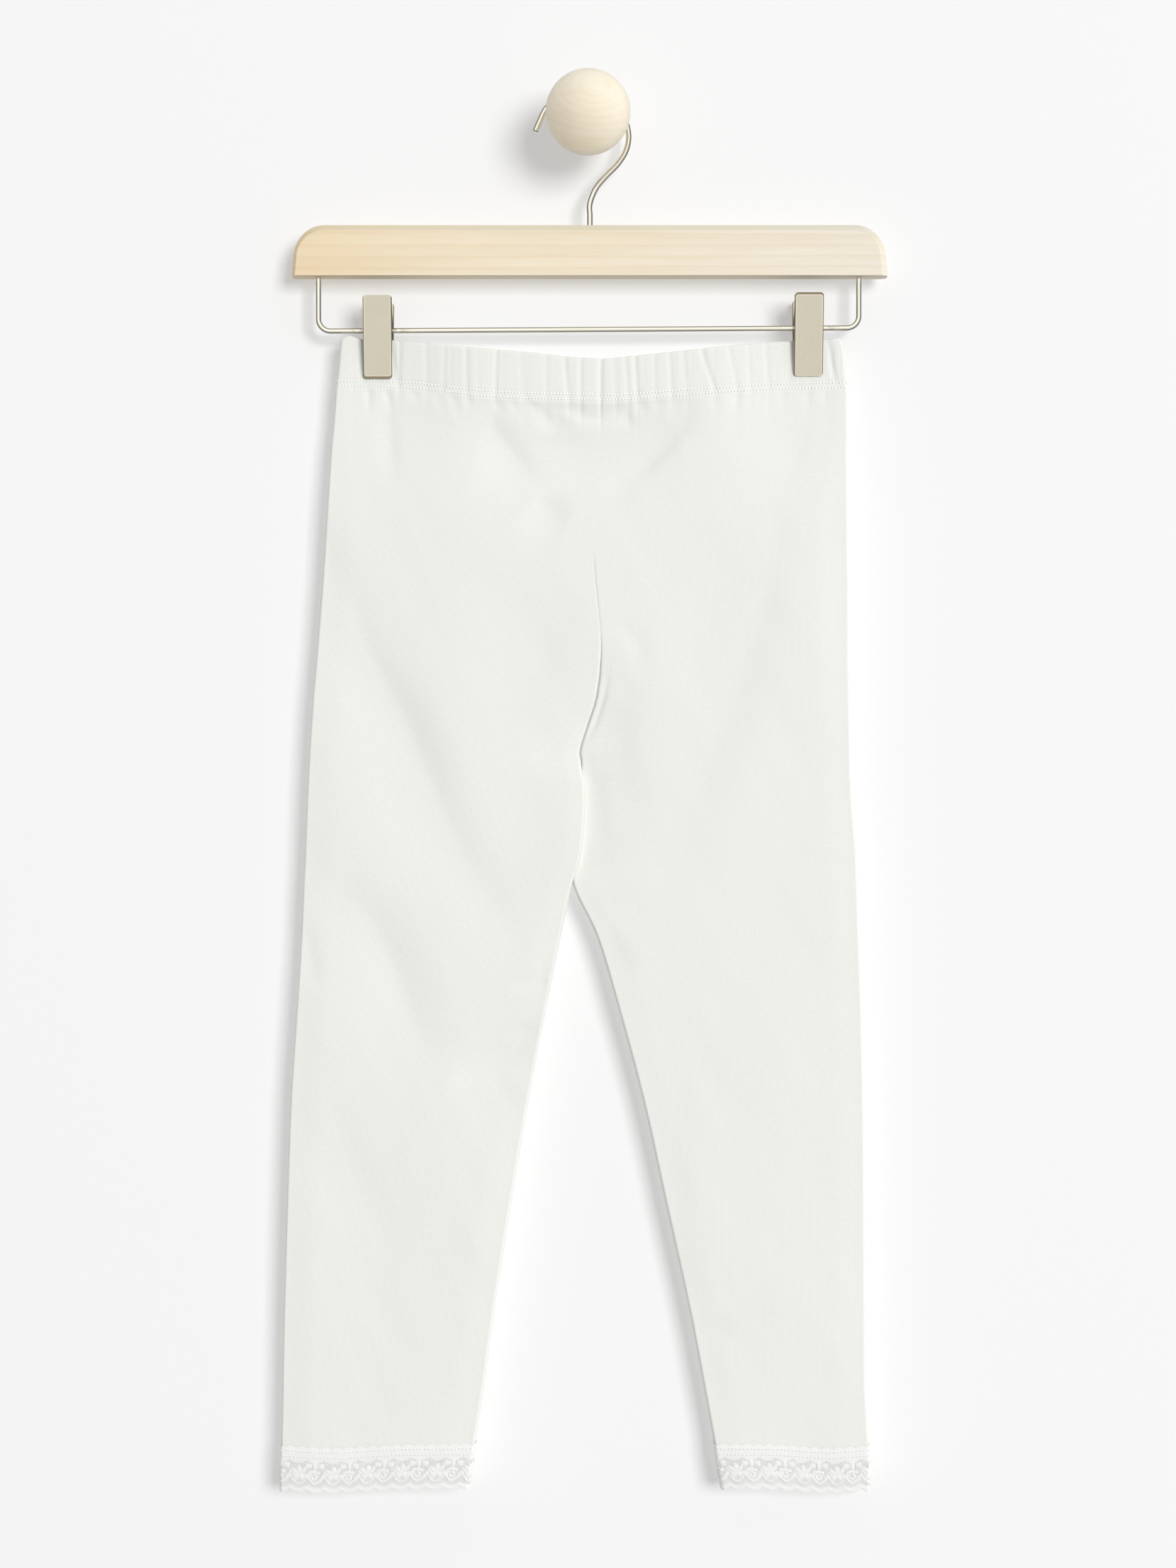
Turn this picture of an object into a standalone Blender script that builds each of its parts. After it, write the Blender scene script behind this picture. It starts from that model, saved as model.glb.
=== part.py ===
"""Cropped jersey leggings with lace hems, hung by two clips from a wooden hanger on a ball peg.

Units are metres. X runs to the right seen from the front, Y into the wall and Z up.
The wall is the plane y = 0 and the origin is where the peg's axis meets it.
Left and right are as seen from the front.
"""
import math

import bmesh
import bpy
import numpy as np
from mathutils import Matrix, Vector

# Gap between pieces that touch, and the plane in which hanger and leggings hang
TOUCH_GAP = 0.0003
HANG_Y = -0.016
MERGE_DISTANCE = 0.00001

# Wall peg
BALL_DIAMETER = 0.0488
BALL_CENTRE_Y = -0.045
STEM_RADIUS = 0.0125
BALL_PROFILE_STEPS = 15
BALL_TURN_STEPS = 30

# Hanger bar
BAR_LENGTH = 0.3485
BAR_DEPTH = 0.012
BAR_TOP_Z = -0.0596
BAR_BOTTOM_Z = -0.0893
BAR_CENTRE_X = 0.0010
BAR_CORNER_WIDTH = 0.018
BAR_CORNER_HEIGHT = 0.020
BAR_END_LEAN = 0.0008
BAR_CHAMFER_DEPTH = 0.0022
BAR_CHAMFER_TOP = 0.0034
BAR_CHAMFER_LEFT = 0.0020
BAR_CHAMFER_RIGHT = 0.0034
BAR_CORNER_STEPS = 9

# Hanger hook: wire, and the route of its middle from the bar up and over the peg
HOOK_WIRE = 0.0032
HOOK_TOP_Z = STEM_RADIUS + TOUCH_GAP + HOOK_WIRE / 2
HOOK_ROUTE = (
    # x, z
    (0.0011, BAR_TOP_Z + TOUCH_GAP),
    (0.0011, -0.0530),
    (0.0011, -0.0462),
    (0.0047, -0.0372),
    (0.0106, -0.0300),
    (0.0176, -0.0228),
    (0.0224, -0.0148),
    (0.0238, -0.0060),
    (0.0215, 0.0028),
    (0.0148, 0.0104),
    (0.0052, 0.0140),
    (-0.0010, HOOK_TOP_Z),
    (-0.0075, 0.0143),
    (-0.0165, 0.0134),
    (-0.0230, 0.0110),
    (-0.0258, 0.0076),
    (-0.0283, 0.0022),
    (-0.0308, -0.0035),
)
HOOK_STEPS_PER_SPAN = 3

# Trouser rod: a wire bent down from the bar, across and up again
ROD_WIRE = 0.0030
ROD_HALF_SPAN = 0.1584
ROD_CENTRE_X = 0.0004
ROD_LEFT_Z = -0.1209
ROD_RIGHT_Z = -0.1191
ROD_BEND_RADIUS = 0.0070
ROD_BEND_STEPS = 6

# Clips, sizes measured from the rod's middle
CLIP_CENTRES_X = (-0.1229, 0.1290)
JAW_WIDTH = 0.0168
JAW_ABOVE_ROD = 0.0191
JAW_BELOW_ROD = 0.0286
JAW_TOP_REACH = 0.0110
JAW_SHEET = 0.0010
JAW_CORNER = 0.0019
BACK_JAW_DROP = 0.0011
EAR_SHEET = 0.0009
BACK_EAR_INSET = 0.0014
ROD_HOLE_RADIUS = ROD_WIRE / 2 + 0.0004
EAR_OUTLINE = (
    # reach from the rod plane to the front, height above the rod
    (0.0076, 0.0180),
    (0.0066, 0.0120),
    (-0.0026, 0.0030),
    (-0.0026, -0.0012),
    (0.0029, -0.0042),
    (0.0044, -0.0190),
    (0.0050, -0.0190),
    (0.0103, 0.0180),
)
SPRING_WIRE = 0.0010
SPRING_RADIUS = ROD_WIRE / 2 + TOUCH_GAP + SPRING_WIRE / 2
SPRING_LENGTH = 0.0096
SPRING_TURNS = 5
SPRING_STEPS_PER_TURN = 8

# Cloth walls
CLOTH_WALL = 0.0012
CASING_WALL = 0.0022
LACE_WALL = 0.0010

# Waistband casing: its top edge and its stitched lower edge
WAIST_TOP = (
    # x, z
    (-0.1490, -0.1320),
    (-0.1455, -0.1268),
    (-0.1400, -0.1239),
    (-0.1325, -0.1258),
    (-0.1137, -0.1265),
    (-0.0709, -0.1308),
    (-0.0368, -0.1338),
    (-0.0139, -0.1363),
    (0.0085, -0.1377),
    (0.0281, -0.1360),
    (0.0468, -0.1340),
    (0.0725, -0.1313),
    (0.1037, -0.1279),
    (0.1392, -0.1259),
    (0.1460, -0.1252),
    (0.1496, -0.1282),
    (0.1520, -0.1340),
)
CASING_FOOT = (
    # x, z
    (-0.1500, -0.1533),
    (-0.1079, -0.1541),
    (-0.0875, -0.1564),
    (-0.0563, -0.1600),
    (0.0056, -0.1620),
    (0.0231, -0.1616),
    (0.0725, -0.1579),
    (0.1030, -0.1556),
    (0.1530, -0.1541),
)
CASING_ENDS_X = (
    # z, left fold, right fold
    (-0.1238, -0.1448, 0.1470),
    (-0.1310, -0.1455, 0.1500),
    (-0.1450, -0.1468, 0.1513),
    (-0.1560, -0.1480, 0.1522),
)
CASING_HALF_DEPTH = 0.0062
CASING_HALF_DEPTH_AT_CLIP = 0.00245
CASING_END_ROUND = 0.0065
PINCH_SPREAD = 0.028
CASING_ROWS = 4
CASING_END_STEPS = 4
CASING_WIDEST_STEP = 0.0100

# Gathers of the casing: where each one meets the top edge and the stitching
FRONT_GATHERS = (
    # x at the top, x at the stitching, half width, depth
    (-0.1102, -0.1112, 0.0022, 0.0006),
    (-0.0955, -0.0945, 0.0020, 0.0005),
    (-0.0868, -0.0880, 0.0018, 0.0005),
    (-0.0708, -0.0716, 0.0024, 0.0007),
    (-0.0545, -0.0540, 0.0022, 0.0005),
    (-0.0390, -0.0376, 0.0018, 0.0004),
    (-0.0262, -0.0250, 0.0022, 0.0006),
    (-0.0128, -0.0120, 0.0020, 0.0007),
    (-0.0052, -0.0046, 0.0016, 0.0005),
    (0.0078, 0.0072, 0.0022, 0.0011),
    (0.0160, 0.0172, 0.0016, 0.0005),
    (0.0262, 0.0250, 0.0020, 0.0009),
    (0.0390, 0.0380, 0.0018, 0.0006),
    (0.0484, 0.0470, 0.0016, 0.0006),
    (0.0588, 0.0570, 0.0018, 0.0006),
    (0.0735, 0.0690, 0.0022, 0.0006),
    (0.0846, 0.0830, 0.0020, 0.0005),
    (0.1036, 0.1024, 0.0020, 0.0005),
)
BACK_GATHER_COUNT = 18
BACK_GATHER_SPAN = (-0.104, 0.110)
BACK_GATHER_WIDTH = 0.0020
BACK_GATHER_DEPTH = 0.0007
BACK_GATHER_SCATTER = 0.0022
BACK_GATHER_LEAN = 0.0012

# Leg panels: each row is a section across both legs
SECTIONS = (
    # z, left outer x, left inner x, right inner x, right outer x, half depth
    (-0.1530, -0.1478, 0.0029, 0.0029, 0.1522, 0.0054),
    (-0.1720, -0.1492, 0.0029, 0.0029, 0.1524, 0.0058),
    (-0.1932, -0.1511, 0.0029, 0.0029, 0.1523, 0.0063),
    (-0.2394, -0.1540, 0.0029, 0.0029, 0.1526, 0.0068),
    (-0.2655, -0.1557, 0.0044, 0.0044, 0.1529, 0.0068),
    (-0.2925, -0.1578, 0.0070, 0.0070, 0.1531, 0.0067),
    (-0.3121, -0.1594, 0.0075, 0.0075, 0.1531, 0.0066),
    (-0.3362, -0.1615, 0.0048, 0.0048, 0.1535, 0.0065),
    (-0.3524, -0.1626, -0.0003, -0.0003, 0.1538, 0.0064),
    (-0.3674, -0.1636, -0.0048, -0.0048, 0.1541, 0.0063),
    (-0.3740, -0.1639, -0.0040, -0.0040, 0.1542, 0.0063),
    (-0.3800, -0.1642, -0.0032, -0.0044, 0.1543, 0.0063),
    (-0.3860, -0.1645, -0.0018, -0.0041, 0.1546, 0.0063),
    (-0.4007, -0.1651, -0.0015, -0.0038, 0.1554, 0.0063),
    (-0.4231, -0.1660, -0.0031, -0.0054, 0.1573, 0.0064),
    (-0.4330, -0.1664, -0.0052, -0.0066, 0.1577, 0.0064),
    (-0.4451, -0.1670, -0.0090, -0.0090, 0.1581, 0.0065),
    (-0.4750, -0.1683, -0.0156, 0.0046, 0.1590, 0.0066),
    (-0.5141, -0.1706, -0.0235, 0.0164, 0.1605, 0.0067),
    (-0.5714, -0.1744, -0.0345, 0.0318, 0.1617, 0.0067),
    (-0.6334, -0.1766, -0.0449, 0.0455, 0.1622, 0.0066),
    (-0.6958, -0.1784, -0.0547, 0.0592, 0.1625, 0.0065),
    (-0.7374, -0.1792, -0.0603, 0.0671, 0.1628, 0.0064),
    (-0.7806, -0.1799, -0.0671, 0.0750, 0.1649, 0.0064),
    (-0.7990, -0.1800, -0.0700, 0.0782, 0.1646, 0.0064),
)
SEAM_TOP_Z = SECTIONS[0][0]
HEM_Z = -0.7806
CLOSING_START_Z = -0.296
CROTCH_Z = -0.3674
GAP_APEX_Z = -0.4451
OUTER_ROUND_TOP = 0.0065
OUTER_ROUND = 0.0190
INNER_ROUND_CROTCH = 0.0100
INNER_ROUND = 0.0190
CROTCH_THINNING = 0.42
CROTCH_THIN_REACH = 0.040
CASING_INFLUENCE = 0.085
ROW_STRETCHES = (
    # from z, to z, number of rows
    (SEAM_TOP_Z, -0.2960, 8),
    (-0.2960, -0.4480, 12),
    (-0.4480, HEM_Z, 15),
)
STEPS_ACROSS = 13

# The left leg lies in front of the right leg below the crotch
OVERLAP_SHIFT = (
    # z, shift
    (-0.3660, 0.0000),
    (-0.3760, 0.0012),
    (-0.3860, 0.0023),
    (-0.4300, 0.0023),
    (-0.4500, 0.0008),
    (-0.4750, 0.0000),
)
OVERLAP_REACH = 0.025

# Largest folds of the legs, each a soft trough through three points, or a ridge if negative
FRONT_FOLDS = (
    # x0, z0, x1, z1, x2, z2, half width, depth
    (-0.1407, -0.2460, -0.0892, -0.3778, -0.0306, -0.4983, 0.0100, 0.0020),
    (-0.1430, -0.4439, -0.0983, -0.4958, -0.0617, -0.5478, 0.0090, 0.0018),
    (-0.0640, -0.5490, -0.0450, -0.5420, -0.0270, -0.5320, 0.0070, 0.0013),
    (-0.0500, -0.5050, -0.0360, -0.5010, -0.0200, -0.4950, 0.0060, 0.0010),
    (0.1278, -0.1828, 0.1070, -0.3200, 0.0520, -0.4450, 0.0120, 0.0018),
    (0.0592, -0.1668, 0.0440, -0.1860, 0.0131, -0.2144, 0.0060, 0.0014),
    (-0.0601, -0.1668, -0.0440, -0.1900, -0.0185, -0.2244, 0.0075, 0.0016),
    (0.0700, -0.6400, 0.0790, -0.7000, 0.0860, -0.7600, 0.0090, 0.0008),
    (-0.1260, -0.1600, -0.1275, -0.1720, -0.1290, -0.1900, 0.0060, 0.0009),
    (-0.0120, -0.3050, -0.0030, -0.3400, 0.0060, -0.3800, 0.0150, -0.0010),
    (-0.1200, -0.6000, -0.1150, -0.6700, -0.1080, -0.7400, 0.0140, 0.0007),
)
BACK_FOLDS = (
    # x0, z0, x1, z1, x2, z2, half width, depth
    (-0.1380, -0.2650, -0.0950, -0.3850, -0.0400, -0.4750, 0.0110, 0.0019),
    (-0.1450, -0.4700, -0.1050, -0.5150, -0.0660, -0.5650, 0.0090, 0.0016),
    (0.1330, -0.2300, 0.1020, -0.3450, 0.0480, -0.4400, 0.0120, 0.0018),
    (0.1380, -0.4900, 0.1010, -0.5300, 0.0560, -0.5720, 0.0090, 0.0014),
    (0.0640, -0.1700, 0.0480, -0.1920, 0.0210, -0.2250, 0.0070, 0.0014),
    (-0.0560, -0.1700, -0.0400, -0.1950, -0.0140, -0.2300, 0.0070, 0.0014),
    (-0.1220, -0.6200, -0.1180, -0.6850, -0.1120, -0.7500, 0.0130, 0.0008),
    (0.1180, -0.6100, 0.1210, -0.6800, 0.1250, -0.7500, 0.0130, 0.0008),
)
FOLD_STEPS = 12
FOLD_END_SHARE = 0.08
FOLD_FADING_POWER = 0.7

# The hem hangs lowest about a quarter of the way in from the outer fold
HEM_SAG = 0.0023
HEM_SAG_AT = 0.27
HEM_SAG_WIDTH = 0.26
HEM_SAG_START_Z = -0.700

# Lace bands round the hems
LACE_TOP_Z = -0.7719
LACE_FOOT_Z = -0.7968
LACE_SCALLOPS = {"left": 24, "right": 20}
LACE_STEPS_PER_SCALLOP = 4
LACE_SCALLOP_DEPTH = 0.0020
LACE_TOP_SCALLOP_DEPTH = 0.0010
LACE_ROWS = 3
LACE_CLEARANCE = 0.0007
GIRTH_SAMPLES = 241
OUTWARD_STEP = 0.004

# Colours as red, green, blue, and how rough and metallic each surface is
FINISHES = {
    "jersey": ((0.86, 0.87, 0.85), 0.85, 0.0),
    "lace": ((0.90, 0.90, 0.89), 0.80, 0.0),
    "pale_wood": ((0.84, 0.74, 0.58), 0.50, 0.0),
    "ball_wood": ((0.82, 0.75, 0.62), 0.48, 0.0),
    "nickel": ((0.62, 0.59, 0.53), 0.28, 1.0),
    "satin_clip": ((0.60, 0.56, 0.47), 0.38, 1.0),
}


def clear_scene():
    for obj in list(bpy.data.objects):
        bpy.data.objects.remove(obj, do_unlink=True)


def collection(name):
    group = bpy.data.collections.new(name)
    bpy.context.scene.collection.children.link(group)
    return group


def finish_material(finish, name):
    color, roughness, metallic = FINISHES[finish]
    material = bpy.data.materials.new(name)
    material.use_nodes = True
    shader = material.node_tree.nodes["Principled BSDF"]
    shader.inputs["Base Color"].default_value = (*color, 1.0)
    shader.inputs["Roughness"].default_value = roughness
    shader.inputs["Metallic"].default_value = metallic
    return material


def mesh_object(name, build, group, finish=None, smooth_angle=None):
    """Make an object from a bmesh, in a collection, with its own finish."""
    mesh = bpy.data.meshes.new(name)
    build.to_mesh(mesh)
    build.free()
    obj = bpy.data.objects.new(name, mesh)
    group.objects.link(obj)
    if finish:
        mesh.materials.append(finish_material(finish, name + "_" + finish))
    if smooth_angle:
        mesh.shade_smooth()
        mesh.set_sharp_from_angle(angle=math.radians(smooth_angle))
    return obj


def smooth_value(table, key, column):
    """Read one column of a table at a key, on a smooth curve through its rows."""
    keys = [row[0] for row in table]
    values = [row[column] for row in table]
    if keys[0] > keys[-1]:
        keys.reverse()
        values.reverse()
    spot = int(np.clip(np.searchsorted(keys, key) - 1, 0, len(keys) - 2))
    reach = keys[spot + 1] - keys[spot]
    share = float(np.clip((key - keys[spot]) / reach, 0.0, 1.0))
    slopes = []
    for knot in (spot, spot + 1):
        before = max(knot - 1, 0)
        after = min(knot + 1, len(keys) - 1)
        slopes.append((values[after] - values[before]) / (keys[after] - keys[before]) * reach)
    start, end = values[spot], values[spot + 1]
    square = share * share
    cube = square * share
    return (
        start * (2 * cube - 3 * square + 1)
        + slopes[0] * (cube - 2 * square + share)
        + end * (3 * square - 2 * cube)
        + slopes[1] * (cube - square)
    )


def ease(value):
    """Rise smoothly from 0 to 1."""
    share = min(max(value, 0.0), 1.0)
    return share * share * (3.0 - 2.0 * share)


def edge_round(distance, radius):
    """Height of a quarter ellipse that starts at a folded edge."""
    share = min(max(distance / radius, 0.0), 1.0)
    return math.sqrt(share * (2.0 - share))


def casing_half_depth(x):
    """Half the depth of the waistband, pressed flat where the clips hold it."""
    pinch = 0.0
    for centre in CLIP_CENTRES_X:
        beyond = abs(x - centre) - JAW_WIDTH / 2
        pinch = max(pinch, 1.0 - ease(beyond / PINCH_SPREAD))
    return CASING_HALF_DEPTH + (CASING_HALF_DEPTH_AT_CLIP - CASING_HALF_DEPTH) * pinch


def fold_curves(table):
    """Sample each fold as a curve through its three points."""
    curves = []
    for x0, z0, x1, z1, x2, z2, width, depth in table:
        steps = np.linspace(0.0, 1.0, FOLD_STEPS)
        bend_x = 2 * x1 - (x0 + x2) / 2
        bend_z = 2 * z1 - (z0 + z2) / 2
        xs = (1 - steps) ** 2 * x0 + 2 * steps * (1 - steps) * bend_x + steps**2 * x2
        zs = (1 - steps) ** 2 * z0 + 2 * steps * (1 - steps) * bend_z + steps**2 * z2
        inward = FOLD_END_SHARE + (1.0 - 2.0 * FOLD_END_SHARE) * steps
        fading = np.sin(math.pi * inward) ** FOLD_FADING_POWER
        curves.append((xs, zs, fading, width, depth))
    return curves


FOLD_CURVES = {"front": fold_curves(FRONT_FOLDS), "back": fold_curves(BACK_FOLDS)}


def fold_depth(x, z, layer):
    """How far the folds push one layer in towards the other."""
    total = 0.0
    for xs, zs, fading, width, depth in FOLD_CURVES[layer]:
        away = ((xs - x) ** 2 + (zs - z) ** 2) / width**2
        total += depth * float(np.max(fading * np.exp(-away)))
    return total


def leg_edges(side, z):
    """Outer and inner x of a leg at a height, with the gap along the rise seam."""
    if side == "left":
        outer = smooth_value(SECTIONS, z, 1)
        inner = smooth_value(SECTIONS, z, 2) - TOUCH_GAP / 2
    else:
        outer = smooth_value(SECTIONS, z, 4)
        inner = smooth_value(SECTIONS, z, 3) + TOUCH_GAP / 2
    return outer, inner


def leg_point(side, z, around):
    """A point on the outside of a leg.

    around runs from 0 at the front's inner edge to 1 at the outer fold and 2 at the back's
    inner edge.
    """
    outer, inner = leg_edges(side, z)
    front = around <= 1.0
    share = around if front else 2.0 - around
    x = inner + (outer - inner) * (1.0 - math.cos(math.pi * share)) / 2.0
    from_outer = abs(outer - x)
    from_inner = abs(x - inner)

    drop = ease((SEAM_TOP_Z - z) / CASING_INFLUENCE)
    closing = ease((CLOSING_START_Z - z) / (CLOSING_START_Z - CROTCH_Z))
    spread = ease((CROTCH_Z - z) / (CROTCH_Z - GAP_APEX_Z) / 2)
    near_casing = casing_half_depth(x) - TOUCH_GAP
    half_depth = near_casing + (smooth_value(SECTIONS, z, 5) - near_casing) * drop
    thinning = CROTCH_THINNING * closing * (1.0 - spread)
    half_depth *= 1.0 - thinning * math.exp(-((from_inner / CROTCH_THIN_REACH) ** 2))

    outer_round = OUTER_ROUND_TOP + (OUTER_ROUND - OUTER_ROUND_TOP) * drop
    inner_round = INNER_ROUND_CROTCH + (INNER_ROUND - INNER_ROUND_CROTCH) * spread
    outer_share = edge_round(from_outer, outer_round)
    inner_share = 1.0 - closing * (1.0 - edge_round(from_inner, inner_round))
    swell = outer_share * inner_share
    half = half_depth * swell
    if share < 1.0:
        half = max(half, TOUCH_GAP / 2)

    middle = smooth_value(OVERLAP_SHIFT, z, 1) * math.exp(-((from_inner / OVERLAP_REACH) ** 2))
    if side == "left":
        middle = -middle
    layer = "front" if front else "back"
    folded = fold_depth(x, z, layer) * swell
    y = HANG_Y + middle + (folded - half if front else half - folded)
    return Vector((x, y, z))


def sag_below_casing(x, z):
    """How far a row near the waist follows the casing's lower edge."""
    level = smooth_value(CASING_FOOT, x, 1) - TOUCH_GAP
    return (level - SEAM_TOP_Z) * (1.0 - ease((SEAM_TOP_Z - z) / CASING_INFLUENCE))


def hem_sag(side, x, z):
    """How far a row near the hem hangs below its level."""
    outer, inner = leg_edges(side, z)
    share = (outer - x) / (outer - inner)
    weight = ease((HEM_SAG_START_Z - z) / (HEM_SAG_START_Z - HEM_Z))
    return -HEM_SAG * weight * math.exp(-(((share - HEM_SAG_AT) / HEM_SAG_WIDTH) ** 2))


def placed_leg_point(side, z, around):
    """A point on the leg with its row bent to the waist and the hem."""
    spot = leg_point(side, z, around)
    spot.z += sag_below_casing(spot.x, z) + hem_sag(side, spot.x, z)
    return spot


def sheet_from_grid(columns, rows, place, closed):
    """A sheet of four-sided faces whose corners come from place(column, row)."""
    build = bmesh.new()
    bmesh.ops.create_grid(build, x_segments=columns, y_segments=rows, size=0.5)
    for vert in build.verts:
        column = round((vert.co.x + 0.5) * columns)
        row = round((0.5 - vert.co.y) * rows)
        vert.co = place(column, row)
    if closed:
        bmesh.ops.remove_doubles(build, verts=build.verts, dist=MERGE_DISTANCE)
    return build


def give_wall(obj, thickness):
    """Thicken a sheet inwards into a cloth wall."""
    solidify = obj.modifiers.new("cloth wall", "SOLIDIFY")
    solidify.thickness = thickness
    solidify.offset = -1.0


def leg_rows():
    """Heights of the rows of a leg panel."""
    rows = [SEAM_TOP_Z]
    for start, end, count in ROW_STRETCHES:
        rows += list(np.linspace(start, end, count + 1)[1:])
    return rows


def leg_panel(side, group):
    """One leg and its half of the seat, cut in one piece and closed along the inseam."""
    rows = leg_rows()

    def place(column, row):
        around = column / STEPS_ACROSS
        if side == "left":
            around = 2.0 - around
        return placed_leg_point(side, rows[row], around)

    build = sheet_from_grid(2 * STEPS_ACROSS, len(rows) - 1, place, closed=False)
    obj = mesh_object("leg_panel_" + side, build, group, "jersey", smooth_angle=60)
    give_wall(obj, CLOTH_WALL)
    return obj


def gather_tables():
    """Gathers of the casing's front and back as x at the top, x at the foot, width, depth."""
    back = []
    start, end = BACK_GATHER_SPAN
    for number in range(BACK_GATHER_COUNT):
        share = (number + 0.5) / BACK_GATHER_COUNT
        x = start + (end - start) * share + BACK_GATHER_SCATTER * math.sin(7.0 * number)
        lean = BACK_GATHER_LEAN * math.sin(3.0 * number + 1.0)
        depth = BACK_GATHER_DEPTH * (1.0 + 0.4 * math.sin(5.0 * number))
        back.append((x, x + lean, BACK_GATHER_WIDTH, depth))
    return {"front": FRONT_GATHERS, "back": tuple(back)}


GATHERS = gather_tables()


def gather_depth(x, share, layer):
    """How far the casing's gathers draw its wall in, share 0 at the top and 1 at the foot."""
    total = 0.0
    for top_x, foot_x, width, depth in GATHERS[layer]:
        middle = top_x + (foot_x - top_x) * share
        total += depth * math.exp(-(((x - middle) / width) ** 2))
    return total


def casing_columns(layer, left, right):
    """Where the casing's columns stand: three to each gather, and a few between."""
    stops = [left, right]
    for top_x, foot_x, width, _ in GATHERS[layer]:
        middle = (top_x + foot_x) / 2
        stops += [middle - width, middle, middle + width]
    stops.sort()
    kept = [stops[0]]
    for stop in stops[1:]:
        if stop - kept[-1] > BACK_GATHER_WIDTH / 2:
            kept.append(stop)
    kept[-1] = right
    columns = [kept[0]]
    for stop in kept[1:]:
        parts = max(1, math.ceil((stop - columns[-1]) / CASING_WIDEST_STEP))
        columns += list(np.linspace(columns[-1], stop, parts + 1)[1:])
    return columns


def casing_point(x, layer, share):
    """A point on the outside of the casing, x being its place at mid height."""
    z_top = smooth_value(WAIST_TOP, x, 1)
    z_foot = smooth_value(CASING_FOOT, x, 1)
    z = z_top + (z_foot - z_top) * share
    left = smooth_value(CASING_ENDS_X, z, 1)
    right = smooth_value(CASING_ENDS_X, z, 2)
    placed = min(max(x, left), right)
    from_end = min(placed - left, right - placed)
    swell = edge_round(from_end, CASING_END_ROUND)
    half = (casing_half_depth(placed) - gather_depth(placed, share, layer)) * swell
    return Vector((placed, HANG_Y - half if layer == "front" else HANG_Y + half, z))


def waistband(group):
    """The folded casing round the waist, with the gathers that its elastic makes."""
    left = CASING_ENDS_X[-1][1]
    right = CASING_ENDS_X[-1][2]
    end_angles = [0.5 * math.pi * step / CASING_END_STEPS for step in range(1, CASING_END_STEPS + 1)]
    end_reaches = [CASING_END_ROUND * (1.0 - math.cos(angle)) for angle in end_angles]
    stops = [(left, "front", 0.0)]
    for layer in ("front", "back"):
        columns = casing_columns(layer, left + CASING_END_ROUND, right - CASING_END_ROUND)
        run = [(left, reach) for reach in end_reaches]
        run += [(x, None) for x in columns[1:-1]]
        run += [(right, -reach) for reach in reversed(end_reaches)]
        if layer == "back":
            run.reverse()
        stops += [(edge, layer, offset) for edge, offset in run]
        stops.append((right, "back", 0.0) if layer == "front" else (left, "front", 0.0))

    def place(column, row):
        spot, layer, offset = stops[column]
        share = row / CASING_ROWS
        if offset is None:
            return casing_point(spot, layer, share)
        index = 1 if spot == left else 2
        z_top = smooth_value(WAIST_TOP, spot + offset, 1)
        z_foot = smooth_value(CASING_FOOT, spot + offset, 1)
        z = z_top + (z_foot - z_top) * share
        return casing_point(smooth_value(CASING_ENDS_X, z, index) + offset, layer, share)

    build = sheet_from_grid(len(stops) - 1, CASING_ROWS, place, closed=True)
    obj = mesh_object("waistband_casing", build, group, "jersey", smooth_angle=60)
    give_wall(obj, CASING_WALL)
    return obj


def even_steps_around(side, z, count):
    """Places round a leg that divide its girth into equal lengths."""
    fine = np.linspace(0.0, 2.0, GIRTH_SAMPLES)
    points = [leg_point(side, z, around) for around in fine]
    lengths = [0.0]
    for before, after in zip(points, points[1:]):
        lengths.append(lengths[-1] + (after - before).length)
    targets = np.linspace(0.0, lengths[-1], count + 1)
    return np.interp(targets, lengths, fine)


def leg_outward(side, z, around):
    """The level direction straight out of a leg's outside."""
    ahead = leg_point(side, z, min(around + OUTWARD_STEP, 2.0))
    behind = leg_point(side, z, max(around - OUTWARD_STEP, 0.0))
    along = (ahead - behind) * (1.0 if side == "right" else -1.0)
    return Vector((along.y, -along.x, 0.0)).normalized()


def lace_hem(side, group):
    """A lace band round a hem, lying on the cloth above and free of it below."""
    scallops = LACE_SCALLOPS[side]
    columns = scallops * LACE_STEPS_PER_SCALLOP
    stops = even_steps_around(side, HEM_Z, columns)
    standoff = LACE_CLEARANCE + LACE_WALL

    def place(column, row):
        around = 0.0 if column in (0, columns) else float(stops[column])
        if side == "left":
            around = 2.0 - around if around else 0.0
        share = row / LACE_ROWS
        wave = abs(math.sin(math.pi * column / LACE_STEPS_PER_SCALLOP))
        top = LACE_TOP_Z - LACE_TOP_SCALLOP_DEPTH * (1.0 - wave)
        foot = LACE_FOOT_Z - LACE_SCALLOP_DEPTH * wave
        z = top + (foot - top) * share
        spot = leg_point(side, z, around)
        sag = hem_sag(side, spot.x, z)
        if around == 0.0:
            spot.y = HANG_Y
            spot.x += standoff if side == "left" else -standoff
        else:
            spot += leg_outward(side, z, around) * standoff
        spot.z += sag
        return spot

    build = sheet_from_grid(columns, LACE_ROWS, place, closed=True)
    obj = mesh_object("lace_hem_" + side, build, group, "lace", smooth_angle=60)
    give_wall(obj, LACE_WALL)
    return obj


def smooth_route(points, steps):
    """Points along a smooth curve through a route."""
    route = []
    for spot in range(len(points) - 1):
        before = Vector(points[max(spot - 1, 0)])
        start = Vector(points[spot])
        end = Vector(points[spot + 1])
        after = Vector(points[min(spot + 2, len(points) - 1)])
        for step in range(steps):
            t = step / steps
            route.append(
                0.5
                * (
                    2 * start
                    + (end - before) * t
                    + (2 * before - 5 * start + 4 * end - after) * t * t
                    + (3 * start - before - 3 * end + after) * t**3
                )
            )
    route.append(Vector(points[-1]))
    return route


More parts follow.
